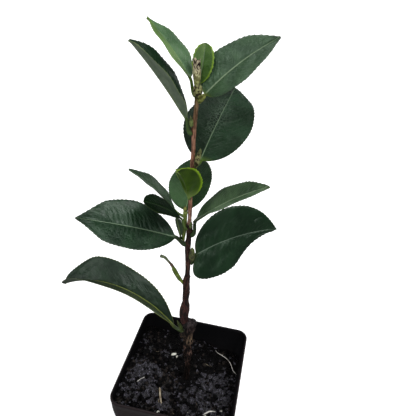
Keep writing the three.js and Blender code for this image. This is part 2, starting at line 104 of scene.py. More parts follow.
def turned(points: Array, azimuth: float) -> Array:
    """Points turned about the upright axis by an azimuth in degrees."""
    a = math.radians(azimuth)
    spin = np.array([[math.cos(a), -math.sin(a), 0], [math.sin(a), math.cos(a), 0], [0, 0, 1]])
    return points @ spin.T


def linked(name: str, data: bpy.types.ID) -> Piece:
    """A new object in the scene, with its data."""
    made = bpy.data.objects.new(name, data)
    bpy.context.collection.objects.link(made)
    return made


def round_points(radius: Array, angle: Array, height: Array) -> Array:
    """Points at radii, angles and heights round the upright axis."""
    return np.stack(np.broadcast_arrays(radius * np.cos(angle), radius * np.sin(angle), height), -1)


@dataclass
class Shell:
    """A mesh under construction: points in mm, faces and their material numbers.

    Attributes:
        points: one row for each vertex.
        faces: vertex numbers of each face.
        slots: material number of each face.
        maps: UV maps by name, one row for each vertex.
    """

    points: Array = field(default_factory=lambda: np.zeros((0, 3)))
    faces: list[tuple[int, ...]] = field(default_factory=list)
    slots: list[int] = field(default_factory=list)
    maps: dict[str, Array] = field(default_factory=dict)

    def painted(self, slot: int) -> "Shell":
        """The same shell, with one material number for all its faces."""
        self.slots = [slot] * len(self.faces)
        return self

    def piece(self, name: str, materials: list[bpy.types.Material], smooth: bool = True) -> Piece:
        """Makes the Blender object, in metres.

        Args:
            name: the piece's name.
            materials: its materials, in the order that slots counts them.
            smooth: whether its faces are shaded smooth.

        Returns:
            The new object, linked to the scene.
        """
        mesh = bpy.data.meshes.new(name)
        mesh.from_pydata((self.points * MM).tolist(), [], self.faces)
        for material in materials:
            mesh.materials.append(material)
        mesh.polygons.foreach_set("material_index", self.slots)
        mesh.polygons.foreach_set("use_smooth", [smooth] * len(self.faces))
        corners = np.empty(len(mesh.loops), int)
        mesh.loops.foreach_get("vertex_index", corners)
        for title, places in self.maps.items():
            layer = mesh.uv_layers.new(name=title)
            layer.data.foreach_set("uv", places[corners].ravel())
        mesh.validate()
        return linked(name, mesh)


def slab(upper: Array, under: Array, slots: tuple[int, int] = (0, 0)) -> Shell:
    """A closed thin solid between two grids of points.

    Args:
        upper: rows by columns by 3, seen from above with columns to the right of the heading.
        under: the same for the lower side.
        slots: material numbers of the upper and lower sides.

    Returns:
        The closed shell.
    """
    rows, columns = upper.shape[:2]
    low = rows * columns
    faces, kinds = [], []
    for i in range(rows - 1):
        for j in range(columns - 1):
            a = i * columns + j
            faces.append((a, a + 1, a + columns + 1, a + columns))
            faces.append((low + a, low + a + columns, low + a + columns + 1, low + a + 1))
            kinds += slots
        left, right = i * columns, i * columns + columns - 1
        faces.append((left, left + columns, low + left + columns, low + left))
        faces.append((right, low + right, low + right + columns, right + columns))
        kinds += [slots[0]] * 2
    last = (rows - 1) * columns
    for j in range(columns - 1):
        faces.append((j, low + j, low + j + 1, j + 1))
        faces.append((last + j, last + j + 1, low + last + j + 1, low + last + j))
        kinds += [slots[0]] * 2
    return Shell(np.vstack([upper.reshape(-1, 3), under.reshape(-1, 3)]), faces, kinds)


def tube(rings: Array) -> Shell:
    """A closed tube through rings of points, capped at both ends.

    Args:
        rings: rings by sides by 3, each counter-clockwise seen from the last ring.

    Returns:
        The closed shell.
    """
    count, sides = rings.shape[:2]
    faces = []
    for i in range(count - 1):
        for j in range(sides):
            a, b = i * sides + j, i * sides + (j + 1) % sides
            faces.append((a, b, b + sides, a + sides))
    first, final = count * sides, count * sides + 1
    last = (count - 1) * sides
    for j in range(sides):
        faces.append(((j + 1) % sides, j, first))
        faces.append((last + j, last + (j + 1) % sides, final))
    points = np.vstack([rings.reshape(-1, 3), rings[0].mean(axis=0), rings[-1].mean(axis=0)])
    return Shell(points, faces, [0] * len(faces))


def operator_node(operation: str) -> Callable[..., "Value"]:
    """A method that adds the math node of an operator."""

    def method(self: "Value", other: object = 0.0) -> "Value":
        """The operator's result."""
        return self.sketch.math(operation, self, other)

    return method


class Value:
    """A shader socket with arithmetic, so that masks read as formulas."""

    __add__ = __radd__ = operator_node("ADD")
    __mul__ = __rmul__ = operator_node("MULTIPLY")
    __sub__ = operator_node("SUBTRACT")
    __truediv__ = operator_node("DIVIDE")
    __gt__ = operator_node("GREATER_THAN")
    __abs__ = operator_node("ABSOLUTE")

    def __init__(self, sketch: "Sketch", socket: bpy.types.NodeSocket) -> None:
        """Keeps the tree under construction and the socket."""
        self.sketch = sketch
        self.socket = socket

    def __rsub__(self, other: float) -> "Value":
        """A number less this value."""
        return self.sketch.math("SUBTRACT", other, self)


class Sketch:
    """A node tree under construction, with short ways to add its nodes."""

    def __init__(self, tree: bpy.types.NodeTree) -> None:
        """Keeps the tree."""
        self.tree = tree

    def feed(self, socket: bpy.types.NodeSocket, value: object) -> None:
        """Links a value to an input, or sets the input's own value.

        Args:
            socket: the input.
            value: a Value, a number, a colour or a vector.
        """
        if isinstance(value, Value):
            self.tree.links.new(value.socket, socket)
        elif hasattr(socket.default_value, "__len__") and len(value) == 3 and len(socket.default_value) == 4:
            socket.default_value = (*value, 1.0)
        else:
            socket.default_value = value

    def fill(self, node: bpy.types.Node, inputs: dict) -> None:
        """Feeds several inputs of a node, each by its name or number."""
        for key, value in inputs.items():
            self.feed(node.inputs[key], value)

    def node(self, kind: str, inputs: dict | None = None, **settings: object) -> bpy.types.Node:
        """Adds a node.

        Args:
            kind: Blender's name of the node type.
            inputs: values by input name or number.
            settings: the node's own settings.

        Returns:
            The new node.
        """
        made = self.tree.nodes.new(kind)
        for key, value in settings.items():
            setattr(made, key, value)
        self.fill(made, inputs or {})
        return made

    def value(self, kind: str, inputs: dict | None = None, output: int | str = 0,
              **settings: object) -> Value:
        """One output of a new node."""
        return Value(self, self.node(kind, inputs, **settings).outputs[output])

    def math(self, operation: str, *values: object, clamp: bool = False) -> Value:
        """The result of a math node on one to three values."""
        return self.value("ShaderNodeMath", dict(enumerate(values)), operation=operation, use_clamp=clamp)

    def mix(self, factor: object, first: object, second: object, blend: str = "MIX") -> Value:
        """A blend of two colours."""
        inputs = {0: factor, 6: first, 7: second}
        return self.value("ShaderNodeMix", inputs, 2, data_type="RGBA", blend_type=blend)

    def step(self, value: Value, low: object, high: object, start: float = 0.0, end: float = 1.0) -> Value:
        """A smooth change from start to end between two limits of a value."""
        inputs = {0: value, 1: low, 2: high, 3: start, 4: end}
        return self.value("ShaderNodeMapRange", inputs, interpolation_type="SMOOTHSTEP", clamp=True)

    def noise(self, vector: Value, scale: object, detail: float = 3.0, warp: float = 0.0) -> Value:
        """A fractal noise value about 0.5."""
        inputs = {"Vector": vector, "Scale": scale, "Detail": detail, "Distortion": warp}
        return self.value("ShaderNodeTexNoise", inputs)

    def web(self, vector: Value, cells: float, line: float, edge: float) -> Value:
        """The edges between cells, as lines that fade out from a distance of line to one of edge."""
        inputs = {"Vector": vector, "Scale": cells}
        away = self.value("ShaderNodeTexVoronoi", inputs, feature="DISTANCE_TO_EDGE")
        return self.step(away, line, edge, 1.0, 0.0)

    def parts(self, vector: Value) -> list[Value]:
        """The X, Y and Z of a vector."""
        return [Value(self, out) for out in self.node("ShaderNodeSeparateXYZ", {0: vector}).outputs]

    def place(self) -> Value:
        """A point's own place on the piece, in metres."""
        return self.value("ShaderNodeTexCoord", output="Object")

    def group(self, kind: "Effect", **inputs: object) -> dict[str, Value]:
        """The outputs of an effect's node group; an input's name has underscores for its spaces."""
        named = {key.replace("_", " "): value for key, value in inputs.items()}
        made = self.node("ShaderNodeGroup", named, node_tree=effect(kind))
        return {out.name: Value(self, out) for out in made.outputs}


Masks = dict[str, Value]


def vein_masks(sketch: Sketch, start: Masks) -> Masks:
    """Masks of a leaf's veins from its own UV maps.

    Args:
        sketch: the group's tree.
        start: the group's inputs. Share runs 0 to 1 across and along the blade, and Size is in cm.

    Returns:
        Midrib, side veins, fine net and margin masks, which half a point is in, the wrinkles, and the
        light net beside the midrib, partly fine veins and partly a painted highlight.
    """
    share_x, along, _ = sketch.parts(start["Share"])
    flat = start["Size"]
    across = share_x * 2.0 - 1.0
    wide = abs(across)
    half = across > 0.0
    from_rib = abs(sketch.parts(flat)[0])

    # The midrib's line narrows toward the tip; its width is in mm and the map in cm
    rib_edge = start["Midrib Width"] * (1.0 - along * 0.7) * 0.1
    midrib = sketch.step(from_rib / rib_edge, 0.55, 1.15, 1.0, 0.0)

    # Where a side vein through the point leaves the midrib, and its number
    lean = (wide * VEIN_ARCH + VEIN_LEAN) * wide + 0.06 - sketch.noise(flat, 0.7) * 0.12
    count = (along - lean) * start["Pairs"] + half * VEIN_OFFSET

    # Side veins with three fainter lines to each, broken here and there, fading to the margin
    strong = sketch.step(sketch.math("PINGPONG", count, 0.5), 0.0, 0.045, 1.0, 0.0)
    faint = sketch.step(sketch.math("PINGPONG", count * 3.0, 0.5), 0.0, 0.16, 0.3, 0.0)
    unbroken = sketch.step(sketch.noise(flat, 2.6, 2.0), 0.38, 0.6)
    veins = sketch.math("MAXIMUM", strong, faint) * unbroken * sketch.step(wide, 0.45, 0.9, 1.0, 0.0)

    # Wrinkles that run along the side veins
    rows = sketch.value("ShaderNodeCombineXYZ", {0: count * 3.2, 1: sketch.parts(flat)[0], 2: half})
    wrinkles = sketch.noise(rows, 1.4, 3.0, 0.5)

    # How far a point lies inside the margin
    inward = (from_rib / sketch.math("MAXIMUM", wide, 0.05) - from_rib) / start["Margin Width"]
    margin = sketch.step(inward, 0.02, 0.1, 1.0, 0.0)

    # The light net beside the midrib, partly fine veins and partly a painted highlight, lies in the blade's
    # middle and is fainter in the right half
    lace = sketch.web(flat, 5.0, 0.015, 0.09) * sketch.step(wide, 0.04, 0.42, 1.0, 0.0)
    lace = lace * (1.0 - half * 0.45)
    lace = lace * sketch.step(along, 0.15, 0.35) * sketch.step(along, 0.6, 0.8, 1.0, 0.0)
    return {"Midrib": midrib, "Veins": veins, "Net": sketch.web(flat, 9.0, 0.02, 0.16), "Margin": margin,
            "Half": half, "Wrinkles": wrinkles, "Lace": lace}


def mottle_masks(sketch: Sketch, start: Masks) -> Masks:
    """A soft blotch mask and a finer noise, from the group's inputs."""
    broad = sketch.noise(start["Vector"], start["Scale"], 4.0, 0.4)
    return {"Mask": sketch.step(broad, start["Low"], start["High"]),
            "Fine": sketch.noise(start["Vector"], start["Scale"] * 7.0)}


def fibre_masks(sketch: Sketch, start: Masks) -> Masks:
    """Upright ridges and a finer grain, from the group's inputs."""
    flatten = sketch.value("ShaderNodeCombineXYZ", {0: 1.0, 1: 1.0, 2: start["Flatten"]})
    drawn = sketch.value("ShaderNodeVectorMath", {0: start["Vector"], 1: flatten}, operation="MULTIPLY")
    broad = sketch.noise(drawn, start["Scale"], 4.0, 0.6)
    return {"Ridges": sketch.step(abs(broad * 2.0 - 1.0), 0.0, 0.25),
            "Fine": sketch.noise(drawn, start["Scale"] * 4.0)}


class Effect(Enum):
    """Shader node groups that several finishes share."""

    VEINS = "leaf veins"
    MOTTLE = "mottle"
    FIBRES = "long fibres"


# Each effect's rule and inputs, with None for a vector
EFFECTS = {
    Effect.VEINS: (vein_masks, {"Share": None, "Size": None, "Pairs": 7.0, "Midrib Width": 0.6,
                                "Margin Width": 0.7}),
    Effect.MOTTLE: (mottle_masks, {"Vector": None, "Scale": 100.0, "Low": 0.35, "High": 0.65}),
    Effect.FIBRES: (fibre_masks, {"Vector": None, "Scale": 900.0, "Flatten": 0.12}),
}


def effect(kind: Effect) -> bpy.types.NodeTree:
    """The node group of an effect, built the first time it is asked for.

    Args:
        kind: which effect.

    Returns:
        The node tree.
    """
    known = bpy.data.node_groups.get(kind.value)
    if known:
        return known
    rule, inputs = EFFECTS[kind]
    tree = bpy.data.node_groups.new(kind.value, "ShaderNodeTree")
    for title, value in inputs.items():
        socket_type = "NodeSocketVector" if value is None else "NodeSocketFloat"
        made = tree.interface.new_socket(title, in_out="INPUT", socket_type=socket_type)
        if value is not None:
            made.default_value = value
    sketch = Sketch(tree)
    start = {out.name: Value(sketch, out) for out in sketch.node("NodeGroupInput").outputs}
    results = rule(sketch, start)
    for title in results:
        tree.interface.new_socket(title, in_out="OUTPUT", socket_type="NodeSocketFloat")
    sketch.node("NodeGroupOutput", results)
    return tree


Pattern = tuple[Value, object, Value]


@dataclass(frozen=True)
class Surface:
    """What every finish has: its gloss and bump.

    The coat is a clear glossy layer over it. bump is the strength of its fine relief, and bump_size that
    relief's height in mm. rough_spread is how far its roughness varies from place to place.
    """

    name: str
    roughness: float = 0.6
    coat: float = 0.0
    coat_roughness: float = 0.2
    bump: float = 0.5
    bump_size: float = 0.3
    specular: float = 0.5
    specular_tint: Colour = WHITE
    rough_spread: float = 0.3

    def pattern(self, sketch: Sketch) -> Pattern:
        """The finish's colour, roughness and height, drawn in a material's tree."""
        raise NotImplementedError

    def uneven(self, fine: Value) -> Value:
        """The roughness, varied by a fine noise."""
        return (fine - 0.5) * self.rough_spread + self.roughness

    def material(self) -> bpy.types.Material:
        """A new material: constants on the shader's own sockets, and the finish's pattern."""
        material = bpy.data.materials.new(self.name)
        material.use_nodes = True
        sketch = Sketch(material.node_tree)
        colour, rough, height = self.pattern(sketch)
        inputs = {"Strength": self.bump, "Distance": self.bump_size * MM, "Height": height}
        settings = {
            "Base Color": colour, "Roughness": rough, "Normal": sketch.value("ShaderNodeBump", inputs),
            "Coat Weight": self.coat, "Coat Roughness": self.coat_roughness,
            "Specular IOR Level": self.specular, "Specular Tint": self.specular_tint,
        }
        sketch.fill(material.node_tree.nodes["Principled BSDF"], settings)
        return material


@dataclass(frozen=True)
class LeafFinish(Surface):
    """One side of a leaf: mottled green with veins, a pale midrib and a rim.

    dark and light are the tones of its mottle, with a factor on them in the left half for that half's own
    colour together with painted light and shade on it. The strengths say how plain side veins, rim and the
    light net beside the midrib are; that net is partly fine veins and partly a painted highlight. Widths are
    in mm. stalk is the petiole's colour, stalk_shade a factor on it in its blotches, and stalk_reach the
    share of the blade over which it goes on. number sets the leaf's own pattern apart.
    """

    rough_spread: float = 0.14
    dark: Colour = (0.008, 0.02, 0.009)
    light: Colour = (0.022, 0.046, 0.022)
    midrib: Colour = (0.13, 0.19, 0.09)
    vein: Colour = (0.05, 0.085, 0.045)
    margin: Colour = (0.04, 0.06, 0.02)
    vein_strength: float = 0.45
    margin_strength: float = 0.5
    # A factor on the left half's tones: that half's own colour together with painted light and shade on it
    half_tint: Colour = WHITE
    stalk: Colour = (0.03, 0.055, 0.015)
    stalk_shade: float = 0.7
    stalk_reach: float = 0.06
    pairs: float = 7.0
    midrib_width: float = 0.4
    margin_width: float = 0.7
    lace: float = 0.0
    number: float = 0.0

    def pattern(self, sketch: Sketch) -> Pattern:
        """Body, veins, rim, midrib and petiole, laid over each other in this order."""
        share = sketch.value("ShaderNodeUVMap", uv_map=LEAF_SHARE)
        flat = sketch.value("ShaderNodeUVMap", uv_map=LEAF_SIZE)
        size = sketch.value("ShaderNodeMapping", {"Vector": flat, "Location": (0.0, 0.0, self.number)})
        veins = sketch.group(Effect.VEINS, Share=share, Size=size, Pairs=self.pairs,
                             Midrib_Width=self.midrib_width, Margin_Width=self.margin_width)
        mottle = sketch.group(Effect.MOTTLE, Vector=size, Scale=0.9)
        fine = mottle["Fine"]
        body = sketch.mix(fine * 0.25, sketch.mix(mottle["Mask"], self.dark, self.light), self.light)
        # Painted light and shade on the left half, with that half's own colour, as a factor on its tones
        if self.half_tint != WHITE:
            half_coloured_and_lit = sketch.mix(1.0, body, self.half_tint, "MULTIPLY")
            body = sketch.mix(veins["Half"], half_coloured_and_lit, body)
        lines = (veins["Net"] * 0.12 + veins["Veins"]) * self.vein_strength
        # The light net beside the midrib goes on in the vein colour, partly as a painted highlight
        lines = sketch.math("MULTIPLY_ADD", veins["Lace"], self.lace, lines, clamp=True)
        body = sketch.mix(lines, body, self.vein)
        body = sketch.mix(veins["Margin"] * self.margin_strength, body, self.margin)
        body = sketch.mix(veins["Midrib"], body, self.midrib)
        stalk = sketch.mix(mottle["Mask"], self.stalk, tuple(self.stalk_shade * c for c in self.stalk))
        near_stalk = sketch.step(sketch.parts(share)[1], -0.02, self.stalk_reach, 1.0, 0.0)
        height = fine + veins["Wrinkles"] * 1.1 - veins["Net"] * 0.12 - veins["Veins"] * 0.35
        return sketch.mix(near_stalk, body, stalk), self.uneven(fine), height


@dataclass(frozen=True)
class BarkFinish(Surface):
    """Bark with long fibres in two tones that change with height.

    bands are heights above the rim in mm with a dark and a light colour at each. flatten is how long the
    fibres are drawn upright, and contrast where their pattern is all dark and all light. blotches counts
    those of a metre.
    """

    bands: tuple[tuple[float, Colour, Colour], ...] = ()
    scale: float = 900.0
    flatten: float = 0.12
    contrast: Pair = (0.12, 0.88)
    blotches: float = 260.0

    def ramp(self, sketch: Sketch, height: Value, which: int) -> Value:
        """A colour ramp over the height for the dark (1) or the light (2) colour of each band.

        Args:
            sketch: the material's tree.
            height: height on the piece in metres.
            which: which colour of each band.

        Returns:
            The colour.
        """
        low, high = self.bands[0][0], self.bands[-1][0]
        share = sketch.value("ShaderNodeMapRange", {0: height, 1: (low + RIM) * MM, 2: (high + RIM) * MM})
        made = sketch.node("ShaderNodeValToRGB", {0: share})
        stops = made.color_ramp.elements
        for i, band in enumerate(self.bands):
            place = (band[0] - low) / (high - low)
            stop = stops[i] if i < 2 else stops.new(place)
            stop.position = place
            stop.color = (*band[which], 1.0)
        return Value(sketch, made.outputs[0])

    def pattern(self, sketch: Sketch) -> Pattern:
        """Fibres and blotches that choose between the two ramps."""
        place = sketch.place()
        height = sketch.parts(place)[2]
        fibres = sketch.group(Effect.FIBRES, Vector=place, Scale=self.scale, Flatten=self.flatten)
        mottle = sketch.group(Effect.MOTTLE, Vector=place, Scale=self.blotches)
        choice = sketch.step(mottle["Mask"] * 0.45 + fibres["Ridges"] * 0.55, *self.contrast)
        body = sketch.mix(choice, self.ramp(sketch, height, 1), self.ramp(sketch, height, 2))
        return body, self.roughness, fibres["Fine"] * 0.4 + fibres["Ridges"]


@dataclass(frozen=True)
class Speckled(Surface):
    """A plain material in two tones, mottled, with fine grain.

    scale counts blotches to a metre, and the noise is all dark under low and all light over high.
    """

    dark: Colour = (0.01, 0.01, 0.01)
    light: Colour = (0.03, 0.03, 0.03)
    scale: float = 300.0
    low: float = 0.35
    high: float = 0.65

    def pattern(self, sketch: Sketch) -> Pattern:
        """Two tones in blotches, and a grain in relief and gloss."""
        mottle = sketch.group(Effect.MOTTLE, Vector=sketch.place(), Scale=self.scale, Low=self.low,
                              High=self.high)
        body = sketch.mix(mottle["Mask"], self.dark, self.light)
        return body, self.uneven(mottle["Fine"]), mottle["Fine"] * 0.6 + mottle["Mask"]


@dataclass(frozen=True)
class PotFinish(Surface):
    """Black moulded plastic, with a film of dried soil low on its inner wall.

    The film has all but faded at film_top, over the height film_fade, both in mm.
    """

    rough_spread: float = 0.2
    plastic: Colour = (0.003, 0.0028, 0.0034)
    film: Colour = (0.012, 0.009, 0.008)
    film_top: float = 84.0
    film_fade: float = 14.0

    def pattern(self, sketch: Sketch) -> Pattern:
        """Faint moulding grain, and smears that thin out upward."""
        place = sketch.place()
        mottle = sketch.group(Effect.MOTTLE, Vector=place, Scale=70.0, Low=0.48, High=0.75)
        streaks = sketch.group(Effect.FIBRES, Vector=place, Scale=160.0, Flatten=0.1)
        fade_start = (self.film_top - self.film_fade) * MM
        low = sketch.step(sketch.parts(place)[2], fade_start, self.film_top * MM, 0.5, 0.04)
        film = sketch.math("MULTIPLY", low * (mottle["Mask"] + 0.15), streaks["Ridges"], clamp=True)
        rough = sketch.math("MULTIPLY_ADD", film, 0.4, self.uneven(mottle["Fine"]), clamp=True)
        return sketch.mix(film, self.plastic, self.film), rough, mottle["Fine"]


@dataclass(frozen=True)
class Station:
    """A place on a limb: height above the rim, centre and radii in mm."""

    z: float
    x: float
    y: float
    rx: float
    ry: float


@dataclass
class Limb:
    """A tapering limb bent along its stations, with relief in its mesh.

    Its stations go from foot to tip, and slot is the record's material slot. Rings of so many sides stand
    ring_gap apart in mm. relief gives the height of the surface over the plain limb, from angle and height,
    and foot_sink is how far the mesh goes on below the first station.
    """

    name: str
    slot: str
    stations: tuple[Station, ...]
    finish: BarkFinish
    sides: int = 36
    ring_gap: float = 0.45
    relief: Relief = lambda angle, height: 0.0
    foot_sink: float = 0.0

    def column(self, key: str) -> Array:
        """One field of every station."""
        return np.array([getattr(s, key) for s in self.stations], float)

    def at(self, height: float) -> tuple[Array, float]:
        """Centre and radius of the limb at a height.

        Args:
            height: height above the rim in mm.

        Returns:
            The centre and the radius.
        """
        z = self.column("z")
        centre = np.array([np.interp(height, z, self.column(k)) for k in ("x", "y")] + [height])
        return centre, float(np.interp(height, z, self.column("rx")))

    def path(self, share: float) -> Array:
        """A point on the centripetal curve through the stations, at a share of their count.

        Args:
            share: 0 at the foot and 1 at the tip.

        Returns:
            The point.
        """
        points = np.stack([self.column("x"), self.column("y"), self.column("z")], 1)
        spans = len(points) - 1
        low = min(int(share * spans), spans - 1)
        t = share * spans - low
        before = points[low - 1] if low > 0 else 2 * points[0] - points[1]
        after = points[low + 2] if low + 2 <= spans else 2 * points[-1] - points[-2]
        four = [before, points[low], points[low + 1], after]
        gaps = [max(np.linalg.norm(b - a) ** 0.5, 1e-4) for a, b in zip(four, four[1:])]
        slopes = [(b - a) / gap for a, b, gap in zip(four, four[1:], gaps)]
        chords = [(four[i + 2] - four[i]) / (gaps[i] + gaps[i + 1]) for i in (0, 1)]
        leave, arrive = ((slopes[i] - chords[i] + slopes[i + 1]) * gaps[1] for i in (0, 1))
        c2 = -3 * four[1] + 3 * four[2] - 2 * leave - arrive
        c3 = 2 * four[1] - 2 * four[2] + leave + arrive
        return four[1] + leave * t + c2 * t * t + c3 * t ** 3

    def shell(self) -> Shell:
        """The limb's closed mesh."""
        spans = len(self.stations) - 1
        rise = self.stations[-1].z - self.stations[0].z
        count = max(int(rise / self.ring_gap), 8)
        shares = np.linspace(0.0, 1.0, count + 1)
        centres = np.array([self.path(s) for s in shares])
        tangents = unit(np.gradient(centres, axis=0))
        rx, ry = self.column("rx"), self.column("ry")
        rings = []
        for share, centre, tangent in zip(shares, centres, tangents):
            if share in (0.0, 1.0) and tangent[2] > 0.9:
                tangent = UP
            right = unit(np.cross([0.0, 1.0, 0.0], tangent))
            back = np.cross(tangent, right)
            low = min(int(share * spans), spans - 1)
            blend = float(smoothstep(share * spans - low, 0.0, 1.0))
            wide = rx[low] + (rx[low + 1] - rx[low]) * blend
            deep = ry[low] + (ry[low + 1] - ry[low]) * blend
            ring = []
            for j in range(self.sides):
                angle = 2 * math.pi * j / self.sides
                lift = self.relief(angle, centre[2])
                across = right * math.cos(angle) * (wide + lift)
                ring.append(centre + across + back * math.sin(angle) * (deep + lift))
            rings.append(ring)
        rings = np.array(rings)
        if self.foot_sink:
            rings = np.concatenate([rings[:1] - UP * self.foot_sink, rings])
        rings[..., 2] += RIM
        return tube(rings)

    def build(self) -> Piece:
        """The limb's piece, standing for its CAD node."""
        piece = self.shell().piece(self.name + "_bark", [self.finish.material()])
        return seated(piece, self.slot, self.name)


def seated(piece: Piece, slot: str, *nodes: str) -> Piece:
    """Rides a piece on the body, in place of CAD nodes if any are named.

    Args:
        piece: the piece.
        slot: the record's material slot; not used.
        nodes: the CAD nodes that it stands for, if any.

    Returns:
        The same piece.
    """
    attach(piece, BODY)
    if nodes:
        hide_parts(*nodes)
    LOG.info("%s: %d faces", piece.name, len(piece.data.polygons))
    return piece


@dataclass(frozen=True)
class Knot:
    """A knot, ring or scar: height, azimuth in degrees, spread and rise in mm.

    An azimuth of None means that it goes all round.
    """

    height: float
    azimuth: float | None
    spread: float
    rise: float

    def lift(self, angle: float, height: float) -> float:
        """What it adds to the surface at an angle and height.

        Args:
            angle: angle round the limb.
            height: height above the rim in mm.

        Returns:
            The lift in mm.
        """
        near = math.exp(-((height - self.height) / self.spread) ** 2)
        if near <= 0.01:
            return 0.0
        if self.azimuth is None:
            return self.rise * near
        return self.rise * near * max(math.cos(angle - math.radians(self.azimuth)), 0.0) ** 2


def bark_relief(depth: float, grain: float, *knots: Knot) -> Relief:
    """Relief of bark: long ridges, a fine grain and knots.

    Args:
        depth: height of the ridges in mm.
        grain: size of the grain in mm.
        knots: its knots, rings and scars.

    Returns:
        The relief rule.
    """

    def rule(angle: float, height: float) -> float:
        """Height of the bark's surface at an angle and height."""
        around = Vector((math.cos(angle), math.sin(angle), 0.0))
        long = noise.noise(around * 2.2 + Vector((0.0, 0.0, height / 9.0)))
        short = noise.noise(around * 5.0 + Vector((3.0, 7.0, height / 2.6)))
        pores = noise.noise(around * 3.0 / grain + Vector((0.0, 0.0, height / grain)))
        lift = depth * (0.6 * long - 0.5 * abs(short) + 0.25 * pores)
        return lift + sum(knot.lift(angle, height) for knot in knots)

    return rule


@dataclass(frozen=True)
class LeafShape:
    """The sizes of one leaf, in mm and degrees, as in the part's source.

    Attributes:
        name: the CAD node's name.
        height: where it leaves its limb, above the rim.
        azimuth: toward where it leaves, 0 being +X and 90 the back.
        petiole: length of the petiole.
        petiole_rise: slope of the petiole.
        rise: slope of the blade at its base.
        droop: what the slope loses by the tip.
        sweep: bend to the left by the tip.
        roll: lift of the right margin.
        twist: what roll gains by the tip.
        fold: slope of each half over the plane of the blade.
        curl: recurve of the margins.
        length: length of the blade.
        width: greatest width of the blade.
        fullness: power of the outline at its base.
        taper: power of the outline at its tip.
        skew: how much nearer the petiole the right half sits.
        lobe: how far both halves are drawn back round the petiole.
        ear: how far the right half alone is drawn back there.
        beak: how much the tip is drawn in.
        waves: height of the margin's waves.
        hollow: how far the right half is drawn in before the tip.
    """

    name: str
    height: float
    azimuth: float
    petiole: float
    petiole_rise: float
    rise: float
    droop: float
    sweep: float
    roll: float
    twist: float
    fold: float
    curl: float
    length: float
    width: float
    fullness: float
    taper: float
    skew: float = 0.0
    lobe: float = 0.0
    ear: float = 0.0
    beak: float = 0.2
    waves: float = 0.3
    hollow: float = 0.0


